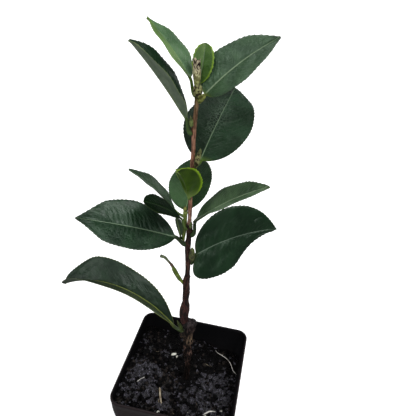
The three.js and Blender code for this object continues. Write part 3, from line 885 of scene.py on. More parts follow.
@dataclass
class Leaf:
    """A leaf with its petiole, as one closed mesh with veins in relief.

    The shape's sizes are the leaf's own, and the sizes and shares below are the same for all leaves. Rows
    run along the leaf and columns across it, and petiole and tip are given by their half thickness.
    """

    shape: LeafShape
    limb: Limb
    slot: str
    upper: LeafFinish
    under: LeafFinish

    petiole_rows: int = 12
    half_columns: int = 21
    rows_to_tooth: int = 5
    tooth_gap: float = 2.3
    tooth_height: float = 0.5
    thickness: float = 0.42
    rib_crowding: float = 1.4
    launch_share: float = 0.65
    petiole_ratio: float = 0.02
    petiole_limits: Pair = (0.65, 1.2)
    end_crowding: float = 0.05
    beak_start: float = 0.72
    tip_half: float = 0.2
    seat_depth: float = 1.2
    foot_swell: float = 0.35
    foot_share: float = 0.3
    teeth_from: Pair = (0.1, 0.2)
    teeth_to: Pair = (0.94, 1.0)
    tooth_start: float = 0.86
    rib_half: float = 1.1
    groove: float = 0.22
    margin_waves: float = 2.6

    def outline(self, s: Array) -> Array:
        """Share of the greatest half width along the blade."""
        a, b = self.shape.fullness, self.shape.taper
        peak = a / (a + b)
        drawn_in = 1.0 - self.shape.beak * smoothstep(s, self.beak_start, 1.0)
        return drawn_in * s ** a * (1.0 - s) ** b / (peak ** a * (1.0 - peak) ** b)

    def petiole_half(self) -> float:
        """Half thickness of the petiole."""
        return float(np.clip(self.shape.length * self.petiole_ratio, *self.petiole_limits))

    def centreline(self) -> tuple[Array, Array, Array, Array]:
        """Points and headings of petiole and midrib, with the blade's share and the petiole's at each."""
        leaf = self.shape
        end = heading(leaf.petiole_rise, 0.0) * leaf.petiole
        third = leaf.petiole / 3.0
        launch = leaf.petiole_rise * self.launch_share
        first = np.array([self.petiole_half() * math.sin(math.radians(launch)), 0.0, 0.0])
        knots = [first, first + heading(launch, 0.0) * third, end - heading(leaf.rise, 0.0) * third, end]
        t = np.linspace(0.0, 1.0, self.petiole_rows + 1)[:-1, None]
        stalk = curve(knots, t)
        along = unit(curve([b - a for a, b in zip(knots, knots[1:])], t))
        teeth = max(int(leaf.length / self.tooth_gap), 6)
        even = np.linspace(0.0, 1.0, teeth * self.rows_to_tooth + 1)
        s = even - self.end_crowding * np.sin(2 * np.pi * even)
        middle = (s[1:] + s[:-1]) / 2.0
        ahead = heading(leaf.rise - leaf.droop * middle, leaf.sweep * middle)
        steps = ahead * (np.diff(s) * leaf.length)[:, None]
        rib = end + np.vstack([np.zeros(3), np.cumsum(steps, axis=0)])
        tangents = heading(leaf.rise - leaf.droop * s, leaf.sweep * s)
        seat = (first - along[0] * self.seat_depth)[None, :]
        points = np.vstack([seat, stalk, rib])
        headings = np.vstack([along[:1], along, tangents])
        shares = np.concatenate([np.zeros(len(stalk) + 1), s])
        stalk_shares = np.concatenate([[0.0], t[:, 0], np.ones(len(s))])
        return points, headings, shares, stalk_shares

    def quilt(self, u: Array, s: Array) -> Array:
        """Relief of the blade in mm: sunken veins with swellings between them.

        Args:
            u: place across the blade, -1 to 1.
            s: share of its length.

        Returns:
            The lift in mm.
        """
        wide = np.abs(u)
        count = (s - wide * (VEIN_LEAN + VEIN_ARCH * wide)) * self.upper.pairs + VEIN_OFFSET * (u > 0)
        drift = self.shape.azimuth / 7.0
        across, ahead = u * self.shape.width / 2.0, s * self.shape.length
        count = count + 0.22 * np.sin(across / 5.0 + drift) + 0.2 * np.sin(ahead / 7.0 - drift)
        apart = np.abs((count + 0.5) % 1.0 - 0.5) * 2.0
        swell = 0.16 * self.shape.width / 32.0 * (apart ** 0.6 - 0.5) * smoothstep(wide, 0.05, 0.25)
        swell = swell + 0.1 * np.sin(2 * np.pi * 2.6 * count + 2.0 * np.sin(across / 2.7 + drift))
        swell = swell + 0.14 * np.sin(across / 1.9 + drift + 1.3 * np.sin(ahead / 3.1))
        swell = swell + 0.16 * np.sin(ahead / 2.4 + 2.0 * drift + 1.6 * np.sin(across / 2.3 - drift))
        groove = -self.groove * np.exp(-(u * self.shape.width / 1.6) ** 2)
        phase = 2 * np.pi * (self.margin_waves * s + 0.3 * (u > 0)) + self.shape.azimuth
        wave = self.shape.waves * wide ** 3 * np.sin(phase)
        relief = swell * smoothstep(1.0 - wide, 0.0, 0.25) * smoothstep(wide, 0.0, 0.12)
        return (relief + groove + wave) * smoothstep(s, 0.0, 0.12)

    def shell(self) -> Shell:
        """The leaf's closed mesh, with its UV maps."""
        leaf = self.shape
        points, tangents, s, stalk = self.centreline()
        level = unit(np.cross(tangents, UP))
        above = np.cross(level, tangents)
        roll = np.radians((leaf.roll + leaf.twist * s) * stalk)[:, None]
        side = level * np.cos(roll) + above * np.sin(roll)
        normal = np.cross(side, tangents)[:, None, :]
        petiole_half = self.petiole_half()
        spread = self.outline(s) * leaf.width / 2.0
        pulvinus = 1.0 + self.foot_swell * (1.0 - smoothstep(stalk, 0.0, self.foot_share))
        narrowest = petiole_half * pulvinus * (1 - s) + self.tip_half * s
        half = np.maximum(spread, narrowest)[:, None]
        spread = spread[:, None]
        along = s[:, None]
        even = np.linspace(-1.0, 1.0, 2 * self.half_columns + 1)
        u = (np.sign(even) * np.abs(even) ** self.rib_crowding)[None, :] * np.ones_like(half)
        opened = smoothstep(spread, 0.0, petiole_half * 3.0)
        fold = math.radians(leaf.fold) * opened
        phase = (along * leaf.length / self.tooth_gap) % 1.0
        toothed = smoothstep(along, *self.teeth_from) * (1.0 - smoothstep(along, *self.teeth_to))
        tooth = self.tooth_height * phase ** 1.5 * toothed
        drawn_in = leaf.hollow * smoothstep(along, 0.5, 0.84) * (1.0 - smoothstep(along, 0.9, 1.0))
        out = half * u * (1.0 - drawn_in * (u > 0))
        out = out + np.sign(u) * tooth * smoothstep(np.abs(u), self.tooth_start, 1.0) * opened
        lift = np.abs(out) * np.sin(fold) - leaf.curl * 2.0 * half * u ** 2 * opened
        lift = lift + self.quilt(u, along) * opened
        edge = 0.15 + 0.85 * np.sqrt(1.0 - np.abs(u) ** 8)
        flat = self.thickness / 2.0 * edge
        rib = np.maximum(petiole_half - flat, 0.0) * (1 - along) * np.exp(-(out / self.rib_half) ** 2)
        round_half = petiole_half * pulvinus[:, None] * np.sqrt(np.maximum(1.0 - 0.96 * u ** 2, 0.0))
        upper_half = round_half + (flat - round_half) * opened
        under_half = round_half + (flat + rib - round_half) * opened
        lobe = leaf.lobe * np.abs(u) + leaf.ear * np.maximum(u, 0.0)
        drawn_back = (leaf.skew * u + lobe * (1.0 - along) ** 4) * spread
        plane = points[:, None, :] + side[:, None, :] * (out * np.cos(fold))[..., None]
        plane = plane - tangents[:, None, :] * drawn_back[..., None]
        upper = plane + normal * (lift + upper_half)[..., None]
        under = plane + normal * (lift - under_half)[..., None]
        shell = slab(upper, under, (0, 1))
        centre, radius = self.limb.at(leaf.height)
        outward = turned(np.array([1.0, 0.0, 0.0]), leaf.azimuth)
        seat = centre + outward * (radius + GAP)
        shell.points = turned(shell.points, leaf.azimuth) + seat + UP * RIM
        stalk_part = (stalk[:, None] - 1.0) * leaf.petiole
        ahead = along * leaf.length + stalk_part + 0 * u
        shares = np.stack([0.5 + 0.5 * u, along + stalk_part / leaf.length + 0 * u], -1).reshape(-1, 2)
        sizes = np.stack([out / MM_TO_CM, ahead / MM_TO_CM], -1).reshape(-1, 2)
        shell.maps = {LEAF_SHARE: np.vstack([shares] * 2), LEAF_SIZE: np.vstack([sizes] * 2)}
        return shell

    def build(self) -> Piece:
        """The leaf's piece, standing for its CAD node."""
        materials = [self.upper.material(), self.under.material()]
        piece = self.shell().piece(self.shape.name + "_blade", materials)
        return seated(piece, self.slot, self.shape.name)


class Seat(Enum):
    """How a bud sits on its limb."""

    SIDE = "on its side"
    TIP = "on its tip"
    ROUND = "wrapped round it"


@dataclass
class Bud:
    """A bud: a green core wrapped in overlapping scales.

    Sizes are in mm, and lean and azimuth in degrees, toward where it leans from the limb's side. height is
    its foot's, above the rim, unless it is on the limb's tip. bluntness is the power of its profile and
    ragged how uneven its scales' tips are. A bud with an open_tip is a blunt open bundle that wraps the tip
    of the limb by tip_sink, and side_sink is how far a foot goes into a limb's side.
    """

    name: str
    slot: str
    length: float
    radius: float
    lean: float
    finish: Speckled | BarkFinish
    limb: Limb
    height: float = 0.0
    azimuth: float = 0.0
    seat: Seat = Seat.SIDE
    core: Speckled = Speckled("bud_core", 0.6, bump=0.3, bump_size=0.08, dark=(0.05, 0.06, 0.015),
                              light=(0.14, 0.17, 0.05), scale=500.0)
    bluntness: float = 0.8
    scales: int = 5
    ragged: float = 0.1
    open_tip: bool = False
    tip_sink: float = 2.2
    side_sink: float = 0.25

    def profile(self, t: Array) -> Array:
        """Radius along the bud."""
        if self.open_tip:
            return self.radius * (0.6 + 0.4 * smoothstep(t, 0.0, 0.5)) * (1.0 - 0.04 * np.clip(t, 0, 1) ** 4)
        return self.radius * np.sin(np.pi * (0.22 + 0.78 * np.clip(t, 0, 1))) ** self.bluntness

    def core_shell(self) -> Shell:
        """The bud's round core."""
        t = np.linspace(0.0, 0.8 if self.open_tip else 0.97, 14)
        angles = np.linspace(0.0, 2 * np.pi, 16, endpoint=False)
        r = np.maximum(self.profile(t) * 0.88, 0.04)
        return tube(round_points(r[:, None], angles, (t * self.length)[:, None]))

    def scale_shell(self, rng: random.Random, number: int) -> Shell:
        """One scale, wrapped round the core.

        Args:
            rng: seeded chance.
            number: which scale, counted from the foot.

        Returns:
            Its closed mesh.
        """
        layer = number / max(self.scales - 1, 1)
        foot = 0.5 * layer * (1.0 - 0.5 * layer)
        top = min(0.55 + 0.5 * layer + rng.uniform(-self.ragged, self.ragged), 1.02)
        t = np.linspace(foot, top, 12)[:, None]
        w = np.linspace(-1.0, 1.0, 9)[None, :]
        share = (t - foot) / (top - foot)
        point = 9.0 if self.open_tip else 2.4
        reach = (0.8 if self.open_tip else 1.15) * (1.0 - share ** point) ** 0.7 + 0.08
        angle = 2.4 * number + rng.uniform(-0.3, 0.3) + w * reach
        flare = 0.10 * self.radius * (1.2 - layer) + 0.06 * self.radius * share ** 3
        wrap = np.maximum(self.profile(t), 0.12 * self.radius) + flare
        thick = 0.05 + 0.03 * self.radius * (1.0 - w ** 2)
        outer, inner = (round_points(r, angle, t * self.length) for r in (wrap + thick, wrap - thick * 0.2))
        return slab(outer, inner)

    def shell(self) -> Shell:
        """Core and scales, leaning toward +X."""
        rng = random.Random(self.name)
        scales = [self.scale_shell(rng, number) for number in range(self.scales)]
        made = joined([self.core_shell().painted(1), *scales])
        a = math.radians(self.lean)
        tilt = np.array([[math.cos(a), 0, math.sin(a)], [0, 1, 0], [-math.sin(a), 0, math.cos(a)]])
        made.points = made.points @ tilt.T
        return made

    def on_side(self, shell: Shell) -> Array:
        """The shell's points when it is seated on the limb's side.

        Args:
            shell: the bud, standing at the origin.

        Returns:
            The points.
        """
        centre, radius = self.limb.at(self.height)
        foot = shell.points[shell.points[:, 2] < 0.4 * self.length]
        shell.points[:, 0] += radius - foot[:, 0].min() - self.side_sink
        return turned(shell.points, self.azimuth) + centre

    def on_tip(self, shell: Shell) -> Array:
        """The shell's points when it is seated on the limb's tip, leaning to the left.

        Args:
            shell: the bud, standing at the origin.

        Returns:
            The points.
        """
        shell.points[:, 0] *= -1.0
        shell.faces = [f[::-1] for f in shell.faces]
        tip = self.limb.stations[-1]
        sink = self.tip_sink if self.open_tip else 0.0
        return shell.points + np.array([tip.x, tip.y, tip.z - sink - shell.points[:, 2].min()])

    def build(self) -> Piece:
        """The bud's piece, which stands for its CAD node unless it is wrapped round the limb as an extra."""
        shell = self.shell()
        if self.seat is Seat.ROUND:
            shell.points = shell.points + self.limb.at(self.height)[0]
        else:
            shell.points = self.on_tip(shell) if self.seat is Seat.TIP else self.on_side(shell)
        shell.points = shell.points + UP * RIM
        piece = shell.piece(self.name + "_scales", [self.finish.material(), self.core.material()])
        return seated(piece, self.slot, *([] if self.seat is Seat.ROUND else [self.name]))


def rounded_square(half: float, corner: float, arc: int = 10, straight: int = 6) -> Array:
    """Points round a square with rounded corners, counter-clockwise from above.

    Args:
        half: half its size in mm.
        corner: radius of its corners.
        arc: steps in each corner.
        straight: steps along each side.

    Returns:
        The points, one row each.
    """
    inner = half - corner
    points = []
    for quarter in range(4):
        first = quarter * math.pi / 2
        cx, cy = (math.copysign(inner, wave(first + math.pi / 4)) for wave in (math.cos, math.sin))
        for k in range(arc + 1):
            angle = first + k * math.pi / 2 / arc
            points.append(np.array([cx + corner * math.cos(angle), cy + corner * math.sin(angle)]))
        side = 2 * inner * np.array([-math.sin(angle), math.cos(angle)])
        points += [points[-1] + side * k / straight for k in range(1, straight)]
    return np.array(points)


@dataclass
class NurseryPot:
    """The square pot: thin tapered walls, a beaded rim and four drain holes.

    Sizes are in mm, and halves are from the middle. The wall grows steeper at the knee and meets the bead
    at the shoulder.
    """

    base_half: float = 34.0
    knee_height: float = 79.0
    knee_half: float = 44.0
    shoulder_height: float = 89.0
    shoulder_half: float = 44.5
    corner: float = 8.0
    wall: float = 1.2
    floor: float = 1.6
    bead: float = 0.3
    drain_radius: float = 4.0
    drain_offset: float = 18.0
    bow: float = 0.35
    outside: PotFinish = PotFinish(
        "pot_plastic", roughness=0.5, bump=0.25, bump_size=0.15, specular=0.2, plastic=(0.01, 0.005, 0.0055),
        film=(0.024, 0.013, 0.012))
    inside: PotFinish = PotFinish("pot_plastic_inside", bump=0.25, bump_size=0.15, specular=0.12)

    def half_at(self, z: float) -> float:
        """Half size of the outer wall at a height."""
        heights = [0.0, self.knee_height, self.shoulder_height]
        return float(np.interp(z, heights, [self.base_half, self.knee_half, self.shoulder_half]))

    def ring(self, z: float, inset: float) -> Array:
        """One loop of the wall at a height, set in from the outer wall.

        Args:
            z: the height in mm.
            inset: how far it is set in.

        Returns:
            The points.
        """
        corner = max(self.corner - inset, 1.0) * self.half_at(z) / self.shoulder_half
        loop = rounded_square(self.half_at(z) - inset, corner)
        sag = self.bow * math.sin(math.pi * min(z / RIM, 1.0))
        for axis in (0, 1):
            other = 1 - axis
            near = np.clip(1.0 - (loop[:, other] / self.half_at(z)) ** 2, 0.0, 1.0)
            on_side = np.abs(loop[:, axis]) > np.abs(loop[:, other])
            loop[:, axis] -= np.sign(loop[:, axis]) * sag * near * on_side
        return np.column_stack([loop, np.full(len(loop), z)])

    def shell(self) -> Shell:
        """The pot's closed mesh, before its drain holes."""
        shoulder, out, wall = self.shoulder_height, -self.bead, self.wall
        outer = [(0.0, 1.0), (0.25, 0.35), (0.9, 0.0)]
        outer += [(z, 0.0) for z in np.linspace(4.0, shoulder, 22)]
        rim = [(shoulder + 0.25, -0.15), (shoulder + 0.5, out), (RIM - 0.5, out), (RIM - 0.15, out + 0.18),
               (RIM, out + 0.5), (RIM, wall - 0.45), (RIM - 0.15, wall - 0.12), (RIM - 0.5, wall)]
        inner = [(z, wall) for z in np.linspace(shoulder, self.floor + 2.0, 22)]
        inner += [(self.floor + 0.5, wall + 0.4), (self.floor, wall + 1.5)]
        shell = tube(np.array([self.ring(z, inset) for z, inset in outer + rim + inner]))
        sides = len(self.ring(0.0, 1.0))
        first = (len(outer) + len(rim) - 3) * sides
        shell.slots[first:] = [1] * (len(shell.slots) - first)
        return shell

    def build(self) -> Piece:
        """The pot's piece, with its drain holes cut."""
        piece = self.shell().piece("nursery_pot", [self.outside.material(), self.inside.material()])
        cutter = bpy.data.meshes.new("drains")
        kit = bmesh.new()
        for x in (-self.drain_offset, self.drain_offset):
            for y in (-self.drain_offset, self.drain_offset):
                place = Matrix.Translation(Vector((x, y, self.floor / 2)) * MM)
                radius = self.drain_radius * MM
                bmesh.ops.create_cone(kit, cap_ends=True, segments=32, radius1=radius, radius2=radius,
                                      depth=3 * self.floor * MM, matrix=place)
        kit.to_mesh(cutter)
        kit.free()
        drains = linked("drains", cutter)
        cut = piece.modifiers.new("drains", "BOOLEAN")
        cut.operation, cut.solver, cut.object = "DIFFERENCE", "EXACT", drains
        applied(piece)
        bpy.data.objects.remove(drains)
        return seated(piece, "pot_plastic", "pot")


def applied(piece: Piece) -> None:
    """Applies a piece's modifiers to its mesh."""
    graph = bpy.context.evaluated_depsgraph_get()
    mesh = bpy.data.meshes.new_from_object(piece.evaluated_get(graph))
    piece.modifiers.clear()
    piece.data = mesh


class Grain(Enum):
    """Kinds of loose pieces in the potting mix."""

    CLOD = 4
    CHIP = 2
    CRUMB = 1


def chunk(place: Vector) -> float:
    """Height of packed angular grains of size 1, from 0 in the cracks to about 1.

    Args:
        place: a place, in grains.

    Returns:
        The height.
    """
    distances, centres = noise.voronoi(place)
    own = centres[0]
    share = math.sin(own.x * 12.9 + own.y * 78.2 + own.z * 37.7) * 437.5
    share -= math.floor(share)
    crack = min((distances[1] - distances[0]) / 0.3, 1.0) ** 0.6
    tilt = (place.x - own.x) * (share - 0.5) + (place.y - own.y) * ((share * 7.0) % 1.0 - 0.5)
    return crack * (0.45 + 0.5 * share) + 0.7 * tilt


@dataclass
class PottingMix:
    """The potting mix: an uneven bed with clods, chips, crumbs and fibres on it.

    At the stem's foot the bed lies depth under the rim, level for foot_flat all round, in a dimple. It falls
    by slope_x to the right and by slope_back to the back, with humps clod_height high and clod_gap apart.
    Sizes are in mm, least and greatest for loose pieces, and cells counts the bed's mesh along a side. Each
    of the bed's grains has a size, a height and a start of its pattern. The shares say up to where a place
    is dark in the back or brown, and from where on grey.
    """

    pot: NurseryPot
    depth: float = 15.0
    slope_x: float = 0.16
    slope_back: float = 0.16
    clod_gap: float = 8.0
    clod_height: float = 5.0
    foot: Pair = (3.0, 0.0)
    foot_flat: float = 5.5
    dimple: float = 9.0
    cells: int = 215
    seed: int = 7
    chips: int = 330
    crumbs: int = 2200
    hairs: int = 7
    clod_size: Pair = (3.5, 7.0)
    chip_size: Pair = (1.8, 4.6)
    crumb_size: Pair = (0.7, 1.9)
    grains: tuple[tuple[float, float, Spot], ...] = (
        (6.0, 1.3, (3.0, 1.0, 0.4)), (2.7, 0.85, (9.0, 4.0, 0.3)), (1.3, 0.5, (5.0, 2.0, 0.6)))
    stem_clearance: float = 3.4
    # Radius in mm round the stem's foot where the bed is kept dark: painted shade where the stem goes into
    # the mix
    stem_shade_radius: float = 8.0
    back_share: float = 0.88
    grey_share: float = 0.74
    brown_share: float = 0.16

    dark: Speckled = Speckled(
        "damp_mix", 0.5, bump=0.8, bump_size=0.5, specular=0.07, dark=(0.0003, 0.0003, 0.0003),
        light=(0.0045, 0.0037, 0.004), scale=520.0, low=0.45, high=0.75)
    # Grey clods whose light speckles are partly their own grey and partly painted glints of wet grains
    grey: Speckled = Speckled(
        "grey_clods", 0.33, bump=1.0, bump_size=0.6, specular=0.5, dark=(0.0025, 0.0022, 0.003),
        light=(0.2, 0.19, 0.24), scale=900.0, low=0.47, high=0.72)
    brown: Speckled = Speckled(
        "bark_chips", 0.5, bump=0.7, bump_size=0.3, specular=0.2, dark=(0.002, 0.0015, 0.001),
        light=(0.018, 0.012, 0.009), scale=600.0)
    pale: Speckled = Speckled(
        "perlite", 0.85, bump=0.6, bump_size=0.3, dark=(0.34, 0.33, 0.27), light=(0.75, 0.74, 0.66),
        scale=500.0)
    root: Speckled = Speckled(
        "pale_root", 0.6, bump=0.4, bump_size=0.1, dark=(0.5, 0.48, 0.43), light=(0.85, 0.83, 0.77))
    straw: Speckled = Speckled(
        "straw", 0.6, bump=0.4, bump_size=0.1, dark=(0.2, 0.15, 0.09), light=(0.5, 0.43, 0.31))

    def from_stem(self, x: float, y: float) -> float:
        """Distance of a place from the middle of the stem's foot."""
        return math.hypot(x - self.foot[0], y - self.foot[1])

    def edge(self, margin: float) -> float:
        """How far a place may lie from the middle when it keeps a margin to the walls."""
        return self.half_at(RIM - self.depth) - margin

    def scatter(self, column: int, row: int) -> float:
        """The source's repeatable value for a corner of the humps' lattice."""
        wave = math.sin(column * 12.99 + row * 78.23) * 437.5
        return wave - math.floor(wave)

    def humps(self, x: float, y: float) -> float:
        """The source's broad humps, from 0 to 1."""
        column, row = math.floor(x / self.clod_gap), math.floor(y / self.clod_gap)
        across = float(smoothstep(x / self.clod_gap - column, 0.0, 1.0))
        along = float(smoothstep(y / self.clod_gap - row, 0.0, 1.0))
        near, far = (self.scatter(column, r) * (1 - across) + self.scatter(column + 1, r) * across
                     for r in (row, row + 1))
        return near * (1 - along) + far * along

    def top(self, x: float, y: float) -> float:
        """Height of the bed above the pot's underside, as in the source.

        Args:
            x: mm to the right of the middle.
            y: mm behind it.

        Returns:
            The height in mm.
        """
        from_stem = self.from_stem(x, y)
        level = RIM - self.depth - GAP
        if from_stem < self.foot_flat:
            return level
        slope = self.slope_x * x + self.slope_back * max(y, 0.0)
        away = float(smoothstep(from_stem, self.foot_flat, self.dimple * 2.0))
        return level + away * (self.clod_height * self.humps(x, y) - slope)

    def mass(self, x: float, y: float) -> float:
        """How far a place is inside one of the big clods: 0 outside, 1 in its middle.

        Args:
            x: mm to the right of the middle.
            y: mm behind it.

        Returns:
            The share.
        """
        most = 0.0
        for mid_x, mid_y, size in MASSES:
            away = math.hypot(x - mid_x, y - mid_y) / (0.5 * size)
            away += 0.5 * noise.noise(Vector((x, y, size)) / 3.5)
            most = max(most, math.sqrt(max(1.0 - away * away, 0.0)))
        return most

    def rough_top(self, x: float, y: float) -> float:
        """The bed's height with its crumbs, clods and big clods.

        Args:
            x: mm to the right of the middle.
            y: mm behind it.

        Returns:
            The height in mm.
        """
        place = Vector((x, y, 0.0))
        open_bed = float(smoothstep(self.from_stem(x, y), 4.0, 9.0))
        big = self.mass(x, y)
        coarse, middle, fine = (height * chunk(place / size + Vector(start))
                                for size, height, start in self.grains)
        lumps = noise.fractal(place / 7.0, 0.9, 2.1, 4)
        lift = (0.7 * lumps + coarse - 0.6) * (1.0 - 0.6 * big) + 3.0 * big
        return self.top(x, y) + open_bed * lift + middle + fine - 1.0

    def half_at(self, z: float) -> float:
        """Half size of the space inside the pot at a height."""
        return self.pot.half_at(z) - self.pot.wall - GAP

    def bed(self) -> Shell:
        """The closed mesh of the bed, down to the pot's floor."""
        n = self.cells
        nominal = self.edge(0.0)
        corner = (self.pot.corner - self.pot.wall) / self.pot.shoulder_half
        rows = []
        for i in range(n + 1):
            row = []
            for j in range(n + 1):
                u, v = 2.0 * j / n - 1.0, 2.0 * i / n - 1.0
                over_u, over_v = abs(u) - (1 - corner), abs(v) - (1 - corner)
                if over_u > 0 and over_v > 0:
                    pull = max(over_u, over_v) / math.hypot(over_u, over_v)
                    u = math.copysign(1 - corner + over_u * pull, u)
                    v = math.copysign(1 - corner + over_v * pull, v)
                z = self.rough_top(u * nominal, v * nominal)
                half = self.half_at(z)
                row.append((u * half, v * half, z))
            rows.append(row)
        upper = np.array(rows)
        bottom = self.pot.floor + GAP
        shrink = self.half_at(bottom) / nominal
        under = upper * np.array([shrink, shrink, 0.0]) + UP * bottom
        shell = slab(upper, under)
        for i in range(n):
            for j in range(n):
                shell.slots[i * (2 * n + 2) + 2 * j] = self.tone(*upper[i, j, :2])
        return shell

    def tone(self, x: float, y: float) -> int:
        """Which of the mix's finishes a place of the bed has: 0 dark, 1 grey, 2 brown.

        Args:
            x: mm to the right of the middle.
            y: mm behind it.

        Returns:
            The material number.
        """
        share = noise.cell(Vector((x, y, 0.0)) / 2.0 + Vector((0.5, 0.5, 0.5)))
        share = 0.5 + 0.5 * share - 0.35 * noise.noise(Vector((x, y, 5.0)) / 9.0)
        # Round the stem the bed is dark as painted shade
        in_stem_shade = self.from_stem(x, y) < self.stem_shade_radius
        if in_stem_shade or (self.shaded(x, y) and share < self.back_share):
            return 0
        if self.mass(x, y) > 0.2 or share > self.grey_share:
            return 1
        return 2 if share < self.brown_share else 0

    def shaded(self, x: float, y: float) -> bool:
        """Whether a place is in the darker, finer back of the bed."""
        return y > 5.0 + 0.25 * max(x, 0.0)

    def spot(self, rng: random.Random, size: float) -> Pair:
        """A random place on the bed, clear of the stem and of the walls by a size.

        Args:
            rng: seeded chance.
            size: the size in mm.

        Returns:
            The place.
        """
        reach = self.edge(0.6 * size + 0.8)
        while True:
            x, y = rng.uniform(-reach, reach), rng.uniform(-reach, reach)
            if self.from_stem(x, y) > self.stem_clearance + 0.6 * size:
                return x, y

    def lump(self, rng: random.Random, kind: Grain, size: float, flat: float, x: float, y: float) -> Shell:
        """One loose piece of the mix, sunk partly into the bed.

        Args:
            rng: seeded chance.
            kind: how fine its mesh is.
            size: its greatest length in mm.
            flat: its thickness over its length.
            x: its place along the front.
            y: its depth from the middle.

        Returns:
            Its closed mesh.
        """
        points, faces = ball(kind.value)
        seed = Vector((rng.uniform(0, 99), rng.uniform(0, 99), rng.uniform(0, 99)))
        shaped = []
        for p in points:
            swell = 1.0 + 0.55 * noise.noise(Vector(p) * 1.3 + seed)
            if kind is not Grain.CRUMB:
                swell += 0.3 * noise.noise(Vector(p) * 3.4 + seed)
            if kind is Grain.CLOD:
                swell += 0.22 * chunk(Vector(p) * 2.6 + seed) + 0.1 * chunk(Vector(p) * 6.5 + seed) - 0.24
            shaped.append([c * swell for c in p])
        scale = np.array([0.5, rng.uniform(0.3, 0.48), 0.5 * flat]) * size
        turn = Euler((rng.uniform(-0.5, 0.5), rng.uniform(-0.5, 0.5), rng.uniform(0, 6.3)))
        spin = np.array(turn.to_matrix())
        z = self.rough_top(x, y) + 0.12 * size * flat
        placed = (np.array(shaped) * scale) @ spin.T + np.array([x, y, z])
        return Shell(placed, faces, [0] * len(faces))

    def clods(self, rng: random.Random) -> list[Shell]:
        """Grey clods, strewn about a few spots.

        Args:
            rng: seeded chance.

        Returns:
            Their meshes.
        """
        made = []
        reach = self.edge(4.0)
        for spot_x, spot_y, spread, count in CLOD_SPOTS:
            for _ in range(count):
                x, y = (max(-reach, min(reach, rng.gauss(middle, spread))) for middle in (spot_x, spot_y))
                if self.from_stem(x, y) > self.dimple:
                    size, flat = rng.uniform(*self.clod_size), rng.uniform(0.6, 0.9)
                    made.append(self.lump(rng, Grain.CLOD, size, flat, x, y).painted(1))
        return made

    def strewn_chips(self, rng: random.Random) -> list[Shell]:
        """Chips all over the bed, none of them grey in its darker back.

        Args:
            rng: seeded chance.

        Returns:
            Their meshes.
        """
        made = []
        for _ in range(self.chips):
            size = rng.uniform(*self.chip_size)
            x, y = self.spot(rng, size)
            slot = rng.choice((0, 0, 0, 1, 2))
            slot = 0 if slot == 1 and self.shaded(x, y) else slot
            made.append(self.lump(rng, Grain.CHIP, size, rng.uniform(0.35, 0.8), x, y).painted(slot))
        return made

    def strewn_crumbs(self, rng: random.Random) -> list[Shell]:
        """Crumbs all over the bed, only the smallest of them grey in its darker back.

        Args:
            rng: seeded chance.

        Returns:
            Their meshes.
        """
        made = []
        for _ in range(self.crumbs):
            size = rng.uniform(*self.crumb_size)
            x, y = self.spot(rng, size)
            crumb = self.lump(rng, Grain.CRUMB, size, rng.uniform(0.5, 0.9), x, y)
            slot = rng.choice((0, 0, 0, 0, 1, 2))
            made.append(crumb.painted(0 if slot == 1 and self.shaded(x, y) and size > 1.1 else slot))
        return made

    def build(self) -> None:
        """The bed and everything on it; the bed stands for the CAD node."""
        mix = [finish.material() for finish in (self.dark, self.grey, self.brown)]
        seated(self.bed().piece("potting_bed", mix), "potting_mix", "soil")
        rng = random.Random(self.seed)
        coarse = self.clods(rng) + self.strewn_chips(rng)
        seated(joined(coarse).piece("clods_and_chips", mix), "potting_mix")
        seated(joined(self.strewn_crumbs(rng)).piece("crumbs", mix, smooth=False), "potting_mix")
        rng = random.Random(self.seed + 1)
        pale = [self.lump(rng, Grain.CHIP, size, flat, x, y) for x, y, size, flat in PERLITE]
        seated(joined(pale).piece("perlite", [self.pale.material()]), "potting_mix")
        strands = [strand(self.on_bed(line), radius).painted(kind) for line, radius, kind in STRANDS]
        strands += self.hair_roots(rng)
        fibres = [self.straw.material(), self.root.material()]
        seated(joined(strands).piece("roots_and_straw", fibres), "potting_mix")

    def hair_roots(self, rng: random.Random) -> list[Shell]:
        """Fine loose fibres, where they fit inside the walls.

        Args:
            rng: seeded chance.

        Returns:
            Their meshes.
        """
        made = []
        for _ in range(self.hairs):
            x, y = self.spot(rng, 3.0)
            angle, length = rng.uniform(0, 6.3), rng.uniform(2.0, 6.0)
            middle = (x + 0.5 * length * math.cos(angle), y + 0.5 * length * math.sin(angle), 0.9)
            end = (x + length * math.cos(angle + 0.5), y + length * math.sin(angle + 0.5), 0.3)
            if max(abs(end[0]), abs(end[1])) < self.edge(1.0):
                made.append(strand(self.on_bed([(x, y, 0.4), middle, end]), 0.09))
        return made

    def on_bed(self, line: list[Spot]) -> list[Array]:
        """Points of a line, each at its own height over the bed."""
        return [np.array([x, y, self.rough_top(x, y) + over]) for x, y, over in line]


# Big clods: x, y and size in mm
MASSES = (
    (-31.0, -14.0, 19.0), (-24.0, -4.0, 11.0), (-33.0, -28.0, 11.0), (-20.0, -21.0, 10.0), (28.0, 1.0, 17.0),
    (34.0, -13.0, 11.0), (15.0, -11.0, 10.0), (21.0, -21.0, 11.0), (5.0, -20.0, 10.0), (-5.0, -31.0, 9.0),
    (34.0, -30.0, 11.0), (14.0, -34.0, 9.0),
)
# Strewn clods: x and y of their middle, spread in mm, and their number
CLOD_SPOTS = (
    (-30.0, -14.0, 6.0, 9), (-24.0, -6.0, 5.0, 5), (-30.0, -26.0, 5.0, 5), (-16.0, -30.0, 6.0, 3),
    (22.0, 2.0, 5.0, 6), (30.0, -10.0, 6.0, 7), (16.0, -14.0, 5.0, 5), (24.0, -28.0, 7.0, 5),
    (34.0, 8.0, 4.0, 3), (6.0, -26.0, 6.0, 4),
)
# Perlite grains: x, y, length in mm, and thickness over length
PERLITE = (
    (-12.2, 15.4, 4.6, 0.34), (-9.6, 14.4, 4.2, 0.36), (-25.3, -13.8, 1.6, 0.6), (34.5, -20.0, 2.6, 0.6),
    (-9.8, -36.0, 2.6, 0.5), (11.0, -30.0, 1.2, 0.8), (24.0, -27.5, 2.6, 0.4),
)
